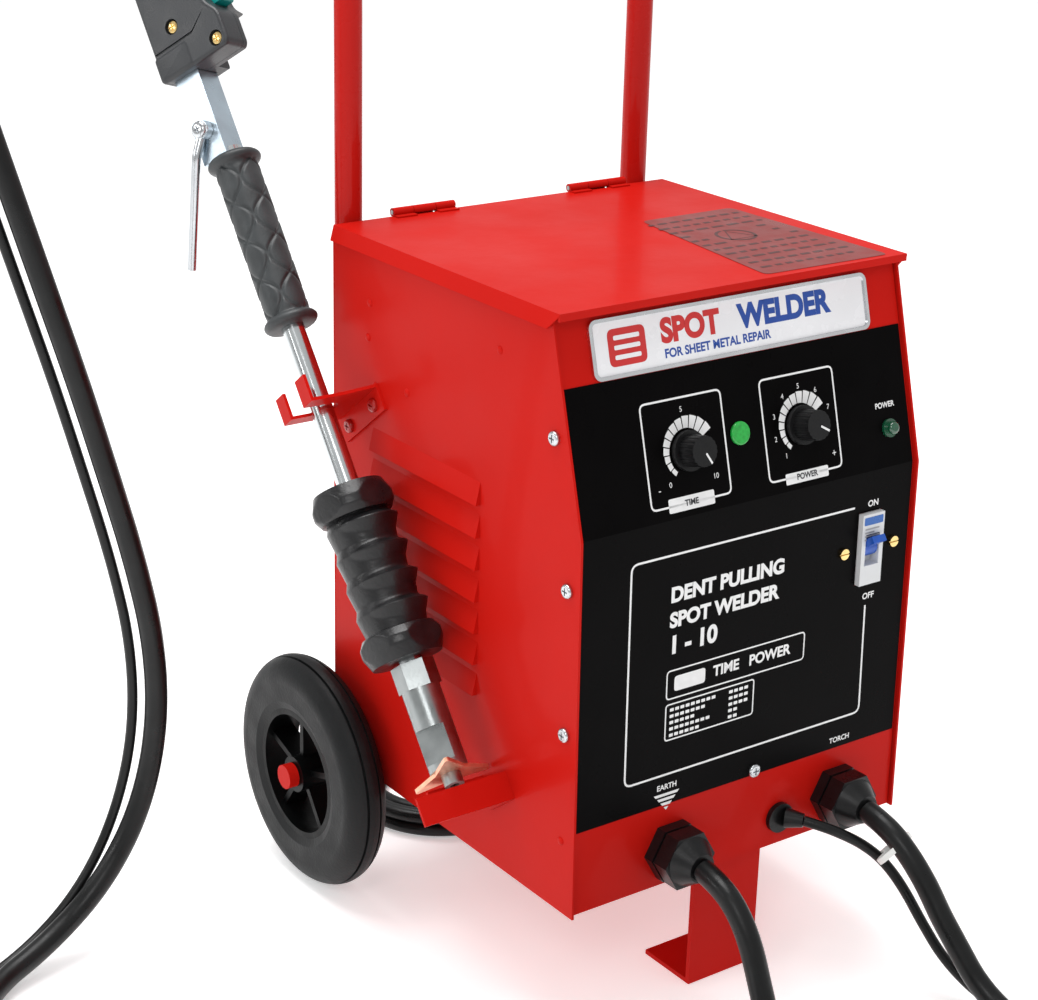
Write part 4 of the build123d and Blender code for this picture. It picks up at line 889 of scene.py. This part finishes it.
SHELL_HALF = 16.0
SHELL = [
    (458, -20), (458, 34), (461, 36), (481, 36), (491, 28), (548, 28), (558, 33.5), (574, 31), (614, 13),
    (621, 6),
    (621, -13), (614, -19.5), (500, -20),
]
SEAM_GROOVE = [(484.5, 24), (486, 25.6), (478, 13), (478, -24), (476.4, -24), (476.4, 12.4)]
BAR_HOLE = [(-16, -9.8), (4, -9.8), (4, 9.8), (-16, 9.8)]
TRIGGER_SLOT = [(6, -6.6), (40, -6.6), (40, 6.6), (6, 6.6)]
BOSS_POCKET = [(456, 10), (484.3, 10), (484.3, 38), (456, 38)]
SHELL_SCREWS = ((0.0, 488.0), (28.0, 465.0), (-4.0, 604.0))


def upright(r, y, h):
    """A point of a shape that is extruded along the gun."""
    return gun_point(h, r, y)


def shell_cutter(name, outline, low, high, place):
    return slab(name, outline, low, high, place, shell_black, "gun")


for sign, name, node in ((-1, "shell_half_outer", "gun_shell_left"),
                         (1, "shell_half_inner", "gun_shell_right")):
    def spot(s, r, h, sign=sign):
        return gun_point(s, r, sign * h)

    half = slab(name, rounded(SHELL, 5, 4), 0.15, SHELL_HALF, spot, shell_black, "gun")
    work = bmesh.new()
    work.from_mesh(half.data)
    rim = [e for e in work.edges
           if all(abs(abs((v.co / MM - GUN).dot(G_SIDE)) - SHELL_HALF) < 0.05 for v in e.verts)]
    bmesh.ops.bevel(work, geom=rim, offset=5.2 * MM, segments=5, profile=0.6, affect="EDGES",
                    clamp_overlap=True)
    bmesh.ops.recalc_face_normals(work, faces=work.faces)
    work.to_mesh(half.data)
    work.free()
    cutters = [
        shell_cutter("cut_bar", BAR_HOLE, 450, 607, upright),
        shell_cutter("cut_trigger", TRIGGER_SLOT, 489, 535.5, upright),
    ]
    if sign > 0:
        cutters.append(shell_cutter("cut_boss", BOSS_POCKET, 4.0, 18.0, gun_point))
    else:
        for r, s in SHELL_SCREWS:
            cutters.append(shell_cutter("cut_screw", circle(5.0, 24), -20, -12.9,
                                        lambda u, v, h, r=r, s=s: gun_point(s + u, r + v, h)))
    cutters.append(shell_cutter("cut_groove", SEAM_GROOVE, 14.9, 20, spot))
    crisp(cut(half, cutters), 35)
    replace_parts(half, node)
lip = slab("shell_front_band", rounded([(458.3, -21.0), (458.3, 8), (476, 8), (476, -21.0)], 3, 4), -16.6,
           16.6,
           gun_point, shell_black, "gun", 2.5 * MM, 3)
cut(lip, [shell_cutter("cut_bar", BAR_HOLE, 450, 500, upright)])
crisp(lip, 50)


def screw_at(name, place, along, mat, head=4.3, rise=2.4):
    """A cross-head screw of the gun, its head's seat at a place."""
    m = frame_at(place, along, G_UP)
    profile = [(0.01, -8), (2.3, -8), (2.3, 0), (head, 0), (head, rise * 0.35), (head * 0.86, rise * 0.8),
               (head * 0.55, rise), (0.01, rise)]
    top = lathe(name, [(r * MM, h * MM) for r, h in profile], m, mat, "gun", steps=28, angle=50)
    cross = [slab("cut_cross", [(-a, -b), (a, -b), (a, b), (-a, b)], rise - 1.3, rise + 1,
                  lambda u, v, h: m @ (Vector((u, v, h)) * MM), mat, "gun") for a, b in ((2.4, 0.45),
                                                                                         (0.45, 2.4))]
    return crisp(cut(top, cross), 40)


shell_screws = join("shell_screws", [
    screw_at("shell_screw", gun_point(s, r, -13), -G_SIDE, brass) for r, s in SHELL_SCREWS
])
screw_at("hook_bolt", gun_point(420, -6, -15.4), -G_SIDE, bright_zinc, 5.2, 2.4)
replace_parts(shell_screws, "gun_screws")

BOOTS = (
    # line, how far back the boot reaches (m), its radius at the cable and at the gun (mm), name
    (torch_line, 0.034, 7.15, 9.6, "torch_boot"),
    (control_line, 0.022, 3.4, 5.4, "control_boot"),
)
BOOT_SIDES, BOOT_STEP, BOOT_END = 24, 0.45, 6
for line, reach, cable_r, gun_r, name in BOOTS:
    rings = frames_along([p for p in line if (p - line[-1]).length < reach])
    rings.append(Matrix.Translation(-G_UP * BOOT_END * MM) @ rings[-1])
    verts = []
    for i, m in enumerate(rings):
        t = i / (len(rings) - 1)
        r = cable_r + (gun_r - cable_r) * t ** 0.8 + BOOT_STEP * (int(t * 9) % 2)
        verts += [m @ Vector((x, y, 0)) for x, y in circle(r * MM, BOOT_SIDES)]
    crisp(piece(name, verts, ring_faces(len(rings) - 1, BOOT_SIDES), nylon, "gun"), 25)

# ------------------------------------------------------------------ floor and light

floor_data = bpy.data.meshes.new("floor")
FLOOR_HALF, FLOOR_Z = 6, -0.0005
floor_corners = [(x * FLOOR_HALF, y * FLOOR_HALF, FLOOR_Z) for x, y in ((-1, -1), (1, -1), (1, 1), (-1, 1))]
floor_data.from_pydata(floor_corners, [], [(0, 1, 2, 3)])
floor = bpy.data.objects.new("floor", floor_data)
bpy.context.scene.collection.objects.link(floor)
pale_floor = material("pale_floor", (0.93, 0.93, 0.93), 0.6, tint=0.01, bump=0.0, emission_strength=0.40)
floor_data.materials.append(pale_floor)

world = bpy.data.worlds.new("studio")
bpy.context.scene.world = world
world.use_nodes = True
world.node_tree.nodes["Background"].inputs["Color"].default_value = (1.0, 1.0, 1.0, 1)
world.node_tree.nodes["Background"].inputs["Strength"].default_value = 0.62


def area_light(name, place, target, size, power, size_y=None):
    """A soft light at a place, turned towards a target."""
    data = bpy.data.lights.new(name, "AREA")
    data.energy = power
    data.size = size
    if size_y:
        data.shape = "RECTANGLE"
        data.size_y = size_y
    obj = bpy.data.objects.new(name, data)
    bpy.context.scene.collection.objects.link(obj)
    obj.matrix_world = frame_at(place, Vector(place) - Vector(target))
    return obj


area_light("overhead", (-0.2, 0.5, 2.4), (0, 0.1, 0.3), 1.5, 50)
area_light("key", (-1.7, -1.5, 1.9), (0, 0.1, 0.3), 0.8, 12)
area_light("left_strip", (-2.0, 1.0, 1.1), (-0.1, 0.1, 0.3), 0.2, 7, 1.6)
